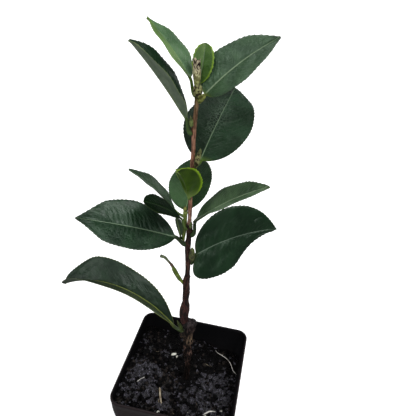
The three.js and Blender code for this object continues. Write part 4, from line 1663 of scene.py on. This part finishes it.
# Roots and straw: places with their height over the bed, radius in mm, and finish (0 straw, 1 pale root)
STRANDS = (
    ([(20.0, 35.0, 0.8), (22.8, 31.5, 1.6), (27.5, 30.0, 2.0), (31.5, 29.0, 2.2), (35.0, 24.0, 2.6),
      (38.0, 18.0, 3.4), (41.3, 12.5, 5.0)], 0.2, 1),
    ([(-14.2, -17.6, 1.0), (-13.0, -20.5, 2.0), (-11.0, -26.0, 2.6), (-8.6, -31.6, 1.6)], 0.7, 0),
    ([(-12.6, -26.0, 1.4), (-11.2, -29.5, 1.8), (-9.2, -33.0, 1.2)], 0.3, 0),
    ([(-31.0, -20.5, 2.2), (-28.6, -18.2, 2.8), (-26.0, -16.5, 2.2)], 0.22, 1),
    ([(22.0, -27.5, 1.0), (26.0, -24.6, 1.6), (30.5, -22.0, 1.2)], 0.5, 1),
)


@cache
def ball(detail: int) -> tuple[list[Spot], list[tuple[int, ...]]]:
    """Points and faces of a unit ball of triangles."""
    kit = bmesh.new()
    bmesh.ops.create_icosphere(kit, subdivisions=detail, radius=1.0)
    kit.verts.index_update()
    points = [tuple(v.co) for v in kit.verts]
    faces = [tuple(v.index for v in f.verts) for f in kit.faces]
    kit.free()
    return points, faces


def joined(shells: list[Shell]) -> Shell:
    """Many shells as one, with their own material numbers."""
    starts = np.cumsum([0] + [len(s.points) for s in shells])
    faces = [tuple(i + start for i in f) for s, start in zip(shells, starts) for f in s.faces]
    slots = [slot for s in shells for slot in s.slots]
    return Shell(np.vstack([s.points for s in shells]), faces, slots)


STRAND_SIDES = 7


def strand(line: list[Array], radius: float) -> Shell:
    """A thin round strand through points, pointed at both ends.

    Args:
        line: points along it, in mm.
        radius: its radius.

    Returns:
        Its closed mesh.
    """
    knots = np.array(line)
    t = np.linspace(0.0, len(knots) - 1.0, 6 * (len(knots) - 1) + 1)
    base = np.arange(len(knots))
    path = np.stack([np.interp(t, base, knots[:, k]) for k in range(3)], 1)
    for _ in range(3):
        path[1:-1] = (path[:-2] + 2 * path[1:-1] + path[2:]) / 4.0
    tangents = unit(np.gradient(path, axis=0))
    right = unit(np.cross(tangents, UP + np.array([0.01, 0.02, 0.0])))
    above = np.cross(right, tangents)
    taper = radius * np.minimum(1.0, 0.35 + 4.0 * np.minimum(t, t[-1] - t) / t[-1])
    angles = np.linspace(0, 2 * np.pi, STRAND_SIDES, endpoint=False)
    rings = path[:, None] + taper[:, None, None] * (
        right[:, None] * np.cos(angles)[None, :, None] - above[:, None] * np.sin(angles)[None, :, None]
    )
    return tube(rings)


def stations(*rows: tuple[float, ...]) -> tuple[Station, ...]:
    """Stations of a limb from height, x, y, and one radius or two."""
    return tuple(Station(*row[:4], row[-1]) for row in rows)


# On the old cutting, above the rim: its stub, the callus's foot and full width, and its rounded edge
STUB = 33.5
CALLUS = (33.0, 42.0)
CALLUS_EDGE = (46.6, 48.4)


def trunk_relief(angle: float, height: float) -> float:
    """Relief of the old cutting: twisted strands low down, a lumpy callus with a rounded edge on top.

    Args:
        angle: angle round the limb.
        height: height above the rim in mm.

    Returns:
        The height of the surface over the plain limb in mm.
    """
    around = Vector((math.cos(angle), math.sin(angle), 0.0))
    twist = 0.05 * height + 0.9 * noise.noise(Vector((height / 7.0, 4.0, 1.0)))
    wobble = 1.1 * noise.noise(around * 1.6 + Vector((0.0, 0.0, height / 8.0)))
    strands = abs(math.sin(3.5 * (angle + twist) + wobble))
    fine = noise.noise(around * 4.5 + Vector((2.0, 5.0, height / 3.2)))
    stub = 3.0 * math.exp(-(((height - STUB) / 2.6) ** 2)) * max(-math.cos(angle - 0.3), 0.0) ** 3
    lumps = noise.fractal(around * 2.4 + Vector((0.0, 0.0, height / 3.5)), 0.8, 2.2, 4)
    callus = float(smoothstep(height, *CALLUS))
    edge = -1.6 * float(smoothstep(height, *CALLUS_EDGE)) ** 2
    edge -= 2.4 * callus * max(-math.cos(angle), 0.0) ** 2
    edge -= 0.35 * float(smoothstep(-height, -12.0, 0.0))
    return (1 - callus) * (0.75 * strands - 0.45 + 0.35 * fine) + (0.25 + 0.5 * callus) * lumps + edge + stub


# Its bands darken to near black toward the foot, below the rim: painted shade where the wood goes down into
# the mix
OLD_BARK = BarkFinish(
    "old_bark", 0.65, bump=1.0, bump_size=0.6, specular=0.15, flatten=0.06, contrast=(0.42, 0.8),
    bands=((-15.0, (0.001, 0.0007, 0.0007), (0.006, 0.003, 0.002)),
           (2.0, (0.001, 0.0007, 0.0007), (0.045, 0.025, 0.019)),
           (9.0, (0.001, 0.0007, 0.0007), (0.12, 0.073, 0.059)),
           (22.0, (0.0015, 0.001, 0.001), (0.16, 0.098, 0.077)),
           (31.0, (0.003, 0.002, 0.0015), (0.26, 0.18, 0.115)),
           (37.0, (0.003, 0.002, 0.0015), (0.07, 0.046, 0.034)),
           (43.0, (0.005, 0.003, 0.003), (0.05, 0.032, 0.03)),
           (48.4, (0.009, 0.007, 0.007), (0.06, 0.046, 0.047))),
)
SHOOT_BARK = BarkFinish(
    "shoot_bark", 0.45, bump=1.0, bump_size=0.35, specular=0.3, scale=800.0,
    bands=((48.0, (0.004, 0.001, 0.001), (0.07, 0.024, 0.02)),
           (70.0, (0.003, 0.001, 0.001), (0.06, 0.02, 0.014)),
           (128.0, (0.005, 0.002, 0.001), (0.08, 0.035, 0.022)),
           (131.5, (0.002, 0.0015, 0.001), (0.012, 0.007, 0.005)),
           (134.5, (0.21, 0.11, 0.08), (0.6, 0.36, 0.27)), (145.0, (0.15, 0.065, 0.04), (0.52, 0.25, 0.17)),
           (190.0, (0.16, 0.07, 0.042), (0.54, 0.26, 0.165)),
           (207.0, (0.12, 0.07, 0.03), (0.36, 0.22, 0.11)),
           (212.0, (0.06, 0.06, 0.012), (0.22, 0.21, 0.06))),
)
GREEN_BARK = BarkFinish(
    "green_bark", 0.45, bump=0.3, bump_size=0.1, scale=500.0, flatten=0.2,
    bands=((84.0, (0.07, 0.11, 0.01), (0.2, 0.28, 0.04)), (96.5, (0.07, 0.11, 0.01), (0.2, 0.27, 0.045)),
           (98.6, (0.03, 0.012, 0.008), (0.13, 0.05, 0.03)),
           (100.5, (0.07, 0.05, 0.025), (0.17, 0.14, 0.08)), (103.0, (0.04, 0.06, 0.03), (0.12, 0.15, 0.08)),
           (118.0, (0.06, 0.1, 0.012), (0.2, 0.27, 0.05)), (140.0, (0.1, 0.15, 0.02), (0.3, 0.38, 0.09))),
)
TIP_SCALES = BarkFinish(
    "tip_scales", 0.7, bump=0.6, bump_size=0.15, specular=0.3, scale=620.0, flatten=0.5,
    contrast=(0.3, 0.62),
    bands=((214.5, (0.05, 0.03, 0.012), (0.2, 0.22, 0.06)), (218.0, (0.13, 0.14, 0.03), (0.38, 0.42, 0.12)),
           (221.5, (0.22, 0.21, 0.08), (0.56, 0.55, 0.27)), (224.0, (0.14, 0.1, 0.05), (0.62, 0.58, 0.35)),
           (226.0, (0.012, 0.005, 0.004), (0.56, 0.48, 0.31)),
           (232.0, (0.01, 0.005, 0.004), (0.52, 0.44, 0.3))),
)

CUTTING = Limb(
    "cutting_wood", "old_wood",
    stations(
        (-15, 3, 0, 3.4, 3.2), (-12, 3, 0, 2.3), (6, 2.8, 0, 2.1, 2.2), (14, 2.4, 0, 2.9, 2.7),
        (26, 1.8, 0, 3.2, 3), (36, 1.6, 0, 3.4, 3.1), (42, 1.4, 0, 5.1, 3.7), (46, 1, 0, 6.4, 4),
        (48.4, 0.4, 0, 5.6, 3.5)),
    OLD_BARK, sides=72, ring_gap=0.3, foot_sink=2.0, relief=trunk_relief,
)
MAIN_STEM = Limb(
    "main_stem", "bark",
    stations(
        (40.5, 1.2, 0, 1.2), (44.5, -0.5, 0, 2.4), (48.7, -1.8, 0, 2.9), (53, -2.5, 0, 3.3),
        (58, -2.2, 0.1, 3.5), (62, -1.9, 0.2, 3.1), (68, -2, 0.3, 2.2),
        (76, -1.8, 0.2, 2.5), (84, -2.2, 0, 2.4), (94, -1.7, -0.2, 1.6), (105, -2.2, -0.2, 1.65),
        (116, -2.6, 0, 1.9), (124, -2.4, 0.1, 1.55), (131, -2.5, 0.1, 1.5), (134, -2.5, 0.1, 1.15),
        (150, -2.9, 0, 1.25), (160, -2.9, -0.1, 1.1), (171, -2.9, -0.1, 1.3), (183, -3, 0, 1.1),
        (195, -3.3, 0.1, 1.25), (203, -2.8, 0.1, 1.1), (212, -2.7, 0, 1.35), (217.4, -3, 0, 1.2)),
    SHOOT_BARK, ring_gap=0.35,
    relief=bark_relief(
        0.42, 0.9, Knot(101.1, 38, 1.4, 0.5), Knot(117, 206, 1.4, 0.5), Knot(127, -18, 1.3, 0.4),
        Knot(133, 219, 1.0, 0.25), Knot(151, 254, 1.0, 0.2), Knot(170, 71, 1.1, 0.3),
        Knot(194, 200, 1.1, 0.3), Knot(212, 15, 1.2, 0.35), Knot(212, 151, 1.2, 0.3),
        Knot(90, 330, 0.7, 0.8), Knot(76.5, 330, 0.8, -0.5), Knot(66, 190, 1.0, -0.4),
        Knot(131.3, None, 0.35, 0.3), Knot(132.4, None, 0.3, 0.25), Knot(129.6, None, 0.35, 0.18),
        Knot(128.0, None, 4.0, 0.4)),
)
SIDE_SHOOT = Limb(
    "side_shoot", "green_wood",
    stations((119.1, -5.9, 0.7, 0.9), (124, -6, 1.3, 1.4), (131, -5.8, 2.2, 1.25), (138, -6.2, 3, 1.3)),
    GREEN_BARK, sides=24, ring_gap=0.4, foot_sink=1.2, relief=bark_relief(0.1, 1.2),
)
BUD_SHOOT = Limb(
    "bud_shoot", "green_wood",
    stations(
        (81.6, -3.2, 0, 0.9), (84.2, -5.0, -0.2, 1.0), (87.5, -7.2, -0.7, 1.45), (93.5, -10, -1.4, 1.5),
        (98.5, -12.2, -1.9, 0.85), (102, -14.7, -2.4, 0.8), (104.5, -16.7, -2.8, 1.0),
        (105.5, -19.7, -3.2, 1.1)),
    GREEN_BARK, sides=24, ring_gap=0.3, relief=bark_relief(0.12, 1.0, Knot(98.6, None, 0.6, 0.2)),
)

UNDERSIDE = LeafFinish(
    "leaf_underside", 0.6, bump=0.3, bump_size=0.15, dark=(0.035, 0.06, 0.03), light=(0.06, 0.095, 0.05),
    midrib=(0.16, 0.21, 0.08), vein=(0.09, 0.13, 0.06), margin=(0.07, 0.1, 0.04), vein_strength=0.4,
    midrib_width=0.9, specular=0.35, specular_tint=(0.85, 1.0, 0.85))
YOUNG_UNDERSIDE = LeafFinish(
    "young_leaf_underside", 0.4, bump=0.4, bump_size=0.15, dark=(0.02, 0.055, 0.002),
    light=(0.075, 0.15, 0.006), midrib=(0.07, 0.14, 0.008), vein=(0.06, 0.13, 0.006), margin=(0.3, 0.5, 0.02),
    vein_strength=0.3, margin_strength=1.0, midrib_width=0.3, margin_width=1.5)


def gloss(name: str, **tones: object) -> LeafFinish:
    """A glossy upper side, named for its leaf."""
    usual = {"roughness": 0.34, "coat": 0.1, "bump": 1.0, "bump_size": 0.45, "specular": 0.32,
             "specular_tint": (0.8, 1.0, 0.84), "vein_strength": 0.2,
             "number": float(sum(name.encode()) % 97)}
    return LeafFinish(name + "_gloss", **{**usual, **tones})


DARK = dict(dark=(0.004, 0.018, 0.006), light=(0.014, 0.042, 0.016), midrib=(0.1, 0.15, 0.09))
# Near-black tones with almost no gloss: painted shade for the leaves that use them
DEEP_SHADE_TONES = dict(dark=(0.001, 0.005, 0.001), light=(0.003, 0.011, 0.003), specular=0.04, coat=0.0,
            midrib=(0.03, 0.06, 0.02))
GREEN = dict(dark=(0.018, 0.05, 0.018), light=(0.044, 0.096, 0.04), midrib=(0.2, 0.28, 0.16))
PALE = dict(dark=(0.038, 0.095, 0.032), light=(0.09, 0.178, 0.075), midrib=(0.2, 0.3, 0.12))
GREY_UNDERSIDE = replace(UNDERSIDE, dark=(0.1, 0.145, 0.088), light=(0.185, 0.235, 0.16),
                         margin=(0.24, 0.31, 0.12), margin_strength=0.8)


@dataclass(frozen=True)
class LeafPlan:
    """A leaf's sizes with its record slot, the tones of its upper side and its lower side's finish."""

    shape: LeafShape
    slot: str
    tones: dict
    under: LeafFinish = UNDERSIDE


# In these tables a leaf's left-half factor gives that half its own colour together with painted light and
# shade
STEM_LEAVES = (
    LeafPlan(
        LeafShape("leaf_top_left", 212, 151, 8.3, 63, 46, 19, 0, -15, 3, 16, 0.03, 39.5, 19.9, 0.68, 0.84),
        "leaf_pale", dict(PALE, half_tint=(1.3, 1.3, 0.5), margin=(0.18, 0.25, 0.03), margin_width=1.0,
                          stalk=(0.12, 0.2, 0.03))),
    LeafPlan(
        LeafShape("leaf_upper_left", 191.3, 200, 9, 69.6, 58, 10, 1, 3, 3, 36, 0.03, 47.3, 22.6, 0.64, 0.66),
        "leaf_green", dict(DARK, bump=0.6, stalk=(0.07, 0.12, 0.03)), GREY_UNDERSIDE),
    LeafPlan(
        LeafShape("leaf_youngest", 216, 76, 1.9, 40, 80, 8, 10, -2, -3, 7, 0.03, 19.5, 10.9, 0.6, 0.5,
                  beak=0.0, waves=0.1),
        "leaf_youngest", dict(dark=(0.03, 0.08, 0.01), light=(0.094, 0.185, 0.036),
                              half_tint=(2.2, 1.7, 2.8), margin=(0.22, 0.36, 0.03), margin_strength=0.9,
                              margin_width=1.0, stalk=(0.14, 0.2, 0.03))),
    LeafPlan(
        LeafShape("leaf_upper_right", 209.8, 14, 3.7, 47.6, 52.0, 20, -5, -39, 2, 18, 0.03, 45.6, 25.2, 0.5,
                  0.78, skew=-0.12),
        "leaf_green", dict(GREEN, dark=(0.014, 0.04, 0.014), light=(0.044, 0.092, 0.04), specular=0.6,
                           midrib=(0.25, 0.33, 0.2), midrib_width=0.5, stalk=(0.17, 0.25, 0.03))),
    # Its left half is darkened as a painted shadow of the stem and the leaf above it, and its bright net
    # beside the midrib is partly a painted highlight
    LeafPlan(
        LeafShape("leaf_upper_back", 170, 71, 7.3, 13, 51, 53, 19, -8, 8, 0, 0.04, 65.6, 40.1, 0.58, 0.79,
                  waves=0.5),
        "leaf_dark", dict(dark=(0.0015, 0.012, 0.002), light=(0.009, 0.032, 0.011), specular=0.18, coat=0.0,
                          vein_strength=0.14, vein=(0.2, 0.28, 0.2), lace=0.42, half_tint=(0.25, 0.45, 0.25),
                          midrib=(0.13, 0.19, 0.11), midrib_width=0.36, stalk=(0.1, 0.17, 0.02))),
    LeafPlan(
        LeafShape("leaf_young_front", 151, 254, 1.7, 48, 78, 37, -1, 1, -15, 34, 0.02, 27.7, 19.2, 0.45, 0.5,
                  skew=0.07, beak=0.0, waves=0.15, hollow=0.9),
        "leaf_young", dict(dark=(0.014, 0.035, 0.003), light=(0.055, 0.1, 0.008), margin=(0.19, 0.3, 0.02),
                           margin_strength=0.9, midrib=(0.1, 0.16, 0.02), stalk=(0.2, 0.29, 0.07),
                           stalk_reach=0.24), YOUNG_UNDERSIDE),
    LeafPlan(
        LeafShape("leaf_small_left", 129, 219, 9.2, 64, 50, 28, -5, 0, 23, 10, 0.03, 29, 15.3, 0.63, 0.45,
                  beak=0.1, waves=0.15),
        "leaf_darkest", dict(DEEP_SHADE_TONES, stalk=(0.12, 0.19, 0.05))),
    LeafPlan(
        LeafShape("leaf_mid_right", 125, -18, 11.8, 77.3, 51, 18, 4, -10, -18, 23, 0.03, 55.2, 21.2, 0.36,
                  0.68),
        "leaf_pale", dict(GREEN, dark=(0.034, 0.072, 0.028), light=(0.115, 0.185, 0.095),
                          half_tint=(0.5, 0.56, 0.48), midrib=(0.25, 0.33, 0.2), midrib_width=0.5)),
    LeafPlan(
        LeafShape("leaf_mid_left", 117, 206, 8.6, 43, 24, 10, -1, 27, 6, 16, 0.03, 60.8, 32.3, 0.76, 0.8,
                  beak=0.4, waves=0.4),
        "leaf_dark", dict(DARK, midrib=(0.16, 0.23, 0.14), midrib_width=0.45, specular=0.44,
                          dark=(0.003, 0.014, 0.005), light=(0.011, 0.034, 0.013))),
    LeafPlan(
        LeafShape("leaf_lower_right", 101.1, 37, 6.8, 55, 22, 28, -6, -56, -14, 5, 0.03, 59.6, 40.6, 0.64,
                  1.02, skew=0.38, lobe=0.36, ear=0.6, beak=0.1, waves=0.4, hollow=0.5),
        "leaf_dark", dict(DARK, dark=(0.0035, 0.014, 0.005), light=(0.01, 0.03, 0.012), bump=0.42,
                          specular=0.26, coat=0.04, midrib=(0.1, 0.14, 0.1))),
)
CUTTING_LEAVES = (
    LeafPlan(
        LeafShape("leaf_lowest", 35, 171, 8.6, 18, 48, 84, 4, 12, -15, 45, 0.035, 98.8, 37.6, 0.88, 0.36,
                  lobe=0.6, beak=0.4, waves=0.5),
        "leaf_dark", dict(DARK, dark=(0.003, 0.011, 0.004), light=(0.01, 0.028, 0.011),
                          midrib=(0.24, 0.28, 0.06), midrib_width=0.6, half_tint=(4.4, 2.2, 2.2),
                          margin=(0.2, 0.24, 0.05), margin_strength=0.8, bump=0.7, specular=0.36,
                          stalk=(0.04, 0.06, 0.012))),
)
SIDE_LEAVES = (
    LeafPlan(
        LeafShape("leaf_side_bract", 120.5, 212, 1.5, 60, 80, 0, 0, -32, 0, 14, 0.03, 14, 6, 0.7, 0.4,
                  beak=0.0, waves=0.0),
        "leaf_darkest", DEEP_SHADE_TONES),
    LeafPlan(
        LeafShape("leaf_side_left", 135, 171, 6, 25, 47, 27, 1, -29, 15, 17, 0.03, 37.5, 19, 0.65, 0.7),
        "leaf_dark", dict(GREEN, dark=(0.013, 0.036, 0.012), light=(0.04, 0.08, 0.034),
                          half_tint=(1.7, 1.5, 1.7), stalk=(0.1, 0.16, 0.04))),
    LeafPlan(
        LeafShape("leaf_side_back", 137, 95, 1.8, 13, 26, 31, 6, 13, 3, 10, 0.03, 55, 28.5, 0.56, 0.83),
        "leaf_green", dict(dark=(0.006, 0.02, 0.005), light=(0.017, 0.045, 0.014), specular=0.1, coat=0.0,
                           half_tint=(3.2, 2.5, 3.2), midrib=(0.14, 0.21, 0.1))),
)


def scales(name: str, roughness: float, dark: Colour, light: Colour, scale: float,
           **more: float) -> Speckled:
    """A finish for the scales of a bud."""
    settings = {"bump": 0.3, "bump_size": 0.08, **more}
    return Speckled(name + "_scales", roughness, dark=dark, light=light, scale=scale, **settings)


GREEN_SCALES = scales("green", 0.45, (0.05, 0.075, 0.015), (0.17, 0.22, 0.06), 500.0)
OLIVE_SCALES = scales("olive", 0.55, (0.012, 0.018, 0.005), (0.07, 0.095, 0.025), 450.0, specular=0.2)
BROWN_SCALES = scales("brown", 0.5, (0.03, 0.035, 0.012), (0.13, 0.14, 0.04), 450.0)
PAPER_SCALES = scales("papery", 0.7, (0.035, 0.025, 0.01), (0.34, 0.34, 0.14), 650.0, bump=0.5,
                      bump_size=0.12, specular=0.3, low=0.42, high=0.58)
YELLOW_SCALES = scales("yellow", 0.6, (0.1, 0.1, 0.02), (0.36, 0.4, 0.1), 600.0, bump=0.4, bump_size=0.1,
                       specular=0.3, low=0.4, high=0.6)

BUDS = (
    Bud("bud_upper_left", "bud_green", 6.5, 0.95, 12, GREEN_SCALES, MAIN_STEM, 195.3, 236),
    Bud("bud_upper_right", "bud_papery", 7.6, 1.3, 40, YELLOW_SCALES, MAIN_STEM, 209.0, 322, scales=7,
        ragged=0.25),
    Bud("bud_upper_back", "bud_papery", 12.5, 1.3, 13, PAPER_SCALES, MAIN_STEM, 171.7, 338),
    Bud("bud_mid_right", "bud_green", 5, 0.8, 14, GREEN_SCALES, MAIN_STEM, 130.5, 300),
    Bud("bud_lower_right", "bud_brown", 10.6, 1.75, 1, BROWN_SCALES, MAIN_STEM, 105.6, 328, bluntness=0.65),
    Bud("bud_on_cutting", "bud_brown", 11.0, 1.2, 26, OLIVE_SCALES, CUTTING, 36.8, 182),
    Bud("bud_side_shoot", "bud_green", 4.5, 1, 6, YELLOW_SCALES, SIDE_SHOOT, seat=Seat.TIP),
    Bud("terminal_bud", "bud_papery", 15.3, 1.72, 4, TIP_SCALES, MAIN_STEM, seat=Seat.TIP, scales=11,
        ragged=0.13, open_tip=True),
    Bud("tip_node", "bud_papery", 9.5, 2.1, 2, PAPER_SCALES, MAIN_STEM, 210.8, seat=Seat.ROUND, scales=8,
        ragged=0.2),
)


@dataclass
class Studio:
    """The floor, the lights and the camera at the photo's viewing angle.

    camera_place is in mm above the pot's underside, lens and sensor in mm, and floor_half in metres. Angles
    are in degrees. The camera sees the floor in floor_colour, brighter by floor_glow, and the plant
    gets floor_bounce back from it. A sun has a name, an azimuth (0 being +X and 90 the back), a height, a
    spread and a strength.
    """

    camera_place: tuple[float, float, float] = (39.65, -210.47, 374.83)
    camera_azimuth: float = -8.555
    look_down: float = 32.81
    roll: float = 5.089
    lens: float = 37.21
    sensor: float = 36.0
    floor_half: float = 12.0
    floor_colour: Colour = (0.92, 0.92, 0.92)
    floor_bounce: Colour = (0.3, 0.3, 0.3)
    floor_glow: float = 0.45
    glow_colour: Colour = (0.86, 0.93, 1.0)
    glow: float = 0.15
    suns: tuple[tuple[str, float, float, float, float], ...] = (
        ("right_sky", -20.0, 56.0, 26.0, 1.7), ("front_sky", -97.0, 52.0, 26.0, 1.1),
        ("left_sky", -154.0, 24.0, 26.0, 0.55), ("back_sky", 132.0, 56.0, 30.0, 0.75),
        ("low_back_sky", 62.0, 18.0, 34.0, 0.4), ("low_fill", -86.0, 14.0, 50.0, 0.35),
    )

    def camera(self) -> Piece:
        """The camera, which looks at the plant as the photo does."""
        az, el, roll = (math.radians(v) for v in (self.camera_azimuth, self.look_down, self.roll))
        ahead = Vector((math.sin(az) * math.cos(el), math.cos(az) * math.cos(el), -math.sin(el)))
        right = Vector((math.cos(az), -math.sin(az), 0.0))
        above = right.cross(ahead)
        tilted_right = right * math.cos(roll) + above * math.sin(roll)
        tilted_up = above * math.cos(roll) - right * math.sin(roll)
        data = bpy.data.cameras.new("camera")
        data.lens, data.sensor_width = self.lens, self.sensor
        data.clip_start, data.clip_end = 0.01, 100.0
        made = linked("camera", data)
        axes = Matrix((tilted_right, tilted_up, -ahead)).transposed()
        made.matrix_world = Matrix.Translation(Vector(self.camera_place) * MM) @ axes.to_4x4()
        bpy.context.scene.camera = made
        return made

    def floor(self) -> Piece:
        """The pale floor, plain but for what the camera sees of it."""
        h = self.floor_half
        mesh = bpy.data.meshes.new("floor")
        mesh.from_pydata([(-h, -h, 0), (h, -h, 0), (h, h, 0), (-h, h, 0)], [], [(0, 1, 2, 3)])
        material = bpy.data.materials.new("pale_floor")
        material.use_nodes = True
        sketch = Sketch(material.node_tree)
        seen = sketch.value("ShaderNodeLightPath", output="Is Camera Ray")
        settings = {
            "Roughness": 0.9, "Specular IOR Level": 0.1, "Emission Color": WHITE,
            "Base Color": sketch.mix(seen, self.floor_bounce, self.floor_colour),
            "Emission Strength": seen * self.floor_glow,
        }
        sketch.fill(material.node_tree.nodes["Principled BSDF"], settings)
        mesh.materials.append(material)
        made = linked("floor", mesh)
        return made

    def sun(self, name: str, azimuth: float, elevation: float, spread: float, strength: float) -> None:
        """A wide soft light from far away.

        Args:
            name: its name.
            azimuth: toward where it stands, in degrees.
            elevation: its height above the level.
            spread: how wide it is seen.
            strength: what a surface that faces it gets.
        """
        data = bpy.data.lights.new(name, "SUN")
        data.energy, data.angle = strength, math.radians(spread)
        made = linked(name, data)
        made.rotation_mode = "QUATERNION"
        made.rotation_quaternion = Vector(heading(elevation, azimuth)).to_track_quat("Z", "Y")

    def surround(self) -> bpy.types.World:
        """The dim soft light from all round, which the camera sees as a pale backdrop."""
        world = bpy.data.worlds.new("studio")
        world.use_nodes = True
        sketch = Sketch(world.node_tree)
        seen = sketch.value("ShaderNodeLightPath", output="Is Camera Ray")
        settings = {"Color": sketch.mix(seen, self.glow_colour, WHITE),
                    "Strength": seen * (1.0 - self.glow) + self.glow}
        sketch.fill(world.node_tree.nodes["Background"], settings)
        return world

    def build(self) -> None:
        """The whole studio."""
        scene = bpy.context.scene
        scene.view_settings.view_transform = "Standard"
        scene.world = self.surround()
        for sun in self.suns:
            self.sun(*sun)
        self.floor()
        self.camera()


def build_plant() -> None:
    """Limbs, leaves and buds."""
    for limb in (CUTTING, MAIN_STEM, SIDE_SHOOT, BUD_SHOOT):
        limb.build()
    for limb, plans in ((MAIN_STEM, STEM_LEAVES), (CUTTING, CUTTING_LEAVES), (SIDE_SHOOT, SIDE_LEAVES)):
        for plan in plans:
            upper = gloss(plan.shape.name, **plan.tones)
            under = replace(plan.under, name=plan.shape.name + "_underside", stalk=upper.stalk,
                            stalk_reach=upper.stalk_reach)
            Leaf(plan.shape, limb, plan.slot, upper, under).build()
    for bud in BUDS:
        bud.build()


def main() -> None:
    """Builds the studio, pot, mix and plant."""
    logging.basicConfig(level=logging.INFO, format="%(name)s %(message)s")
    Studio().build()
    pot = NurseryPot()
    pot.build()
    PottingMix(pot).build()
    build_plant()


if __name__ == "__main__":
    main()
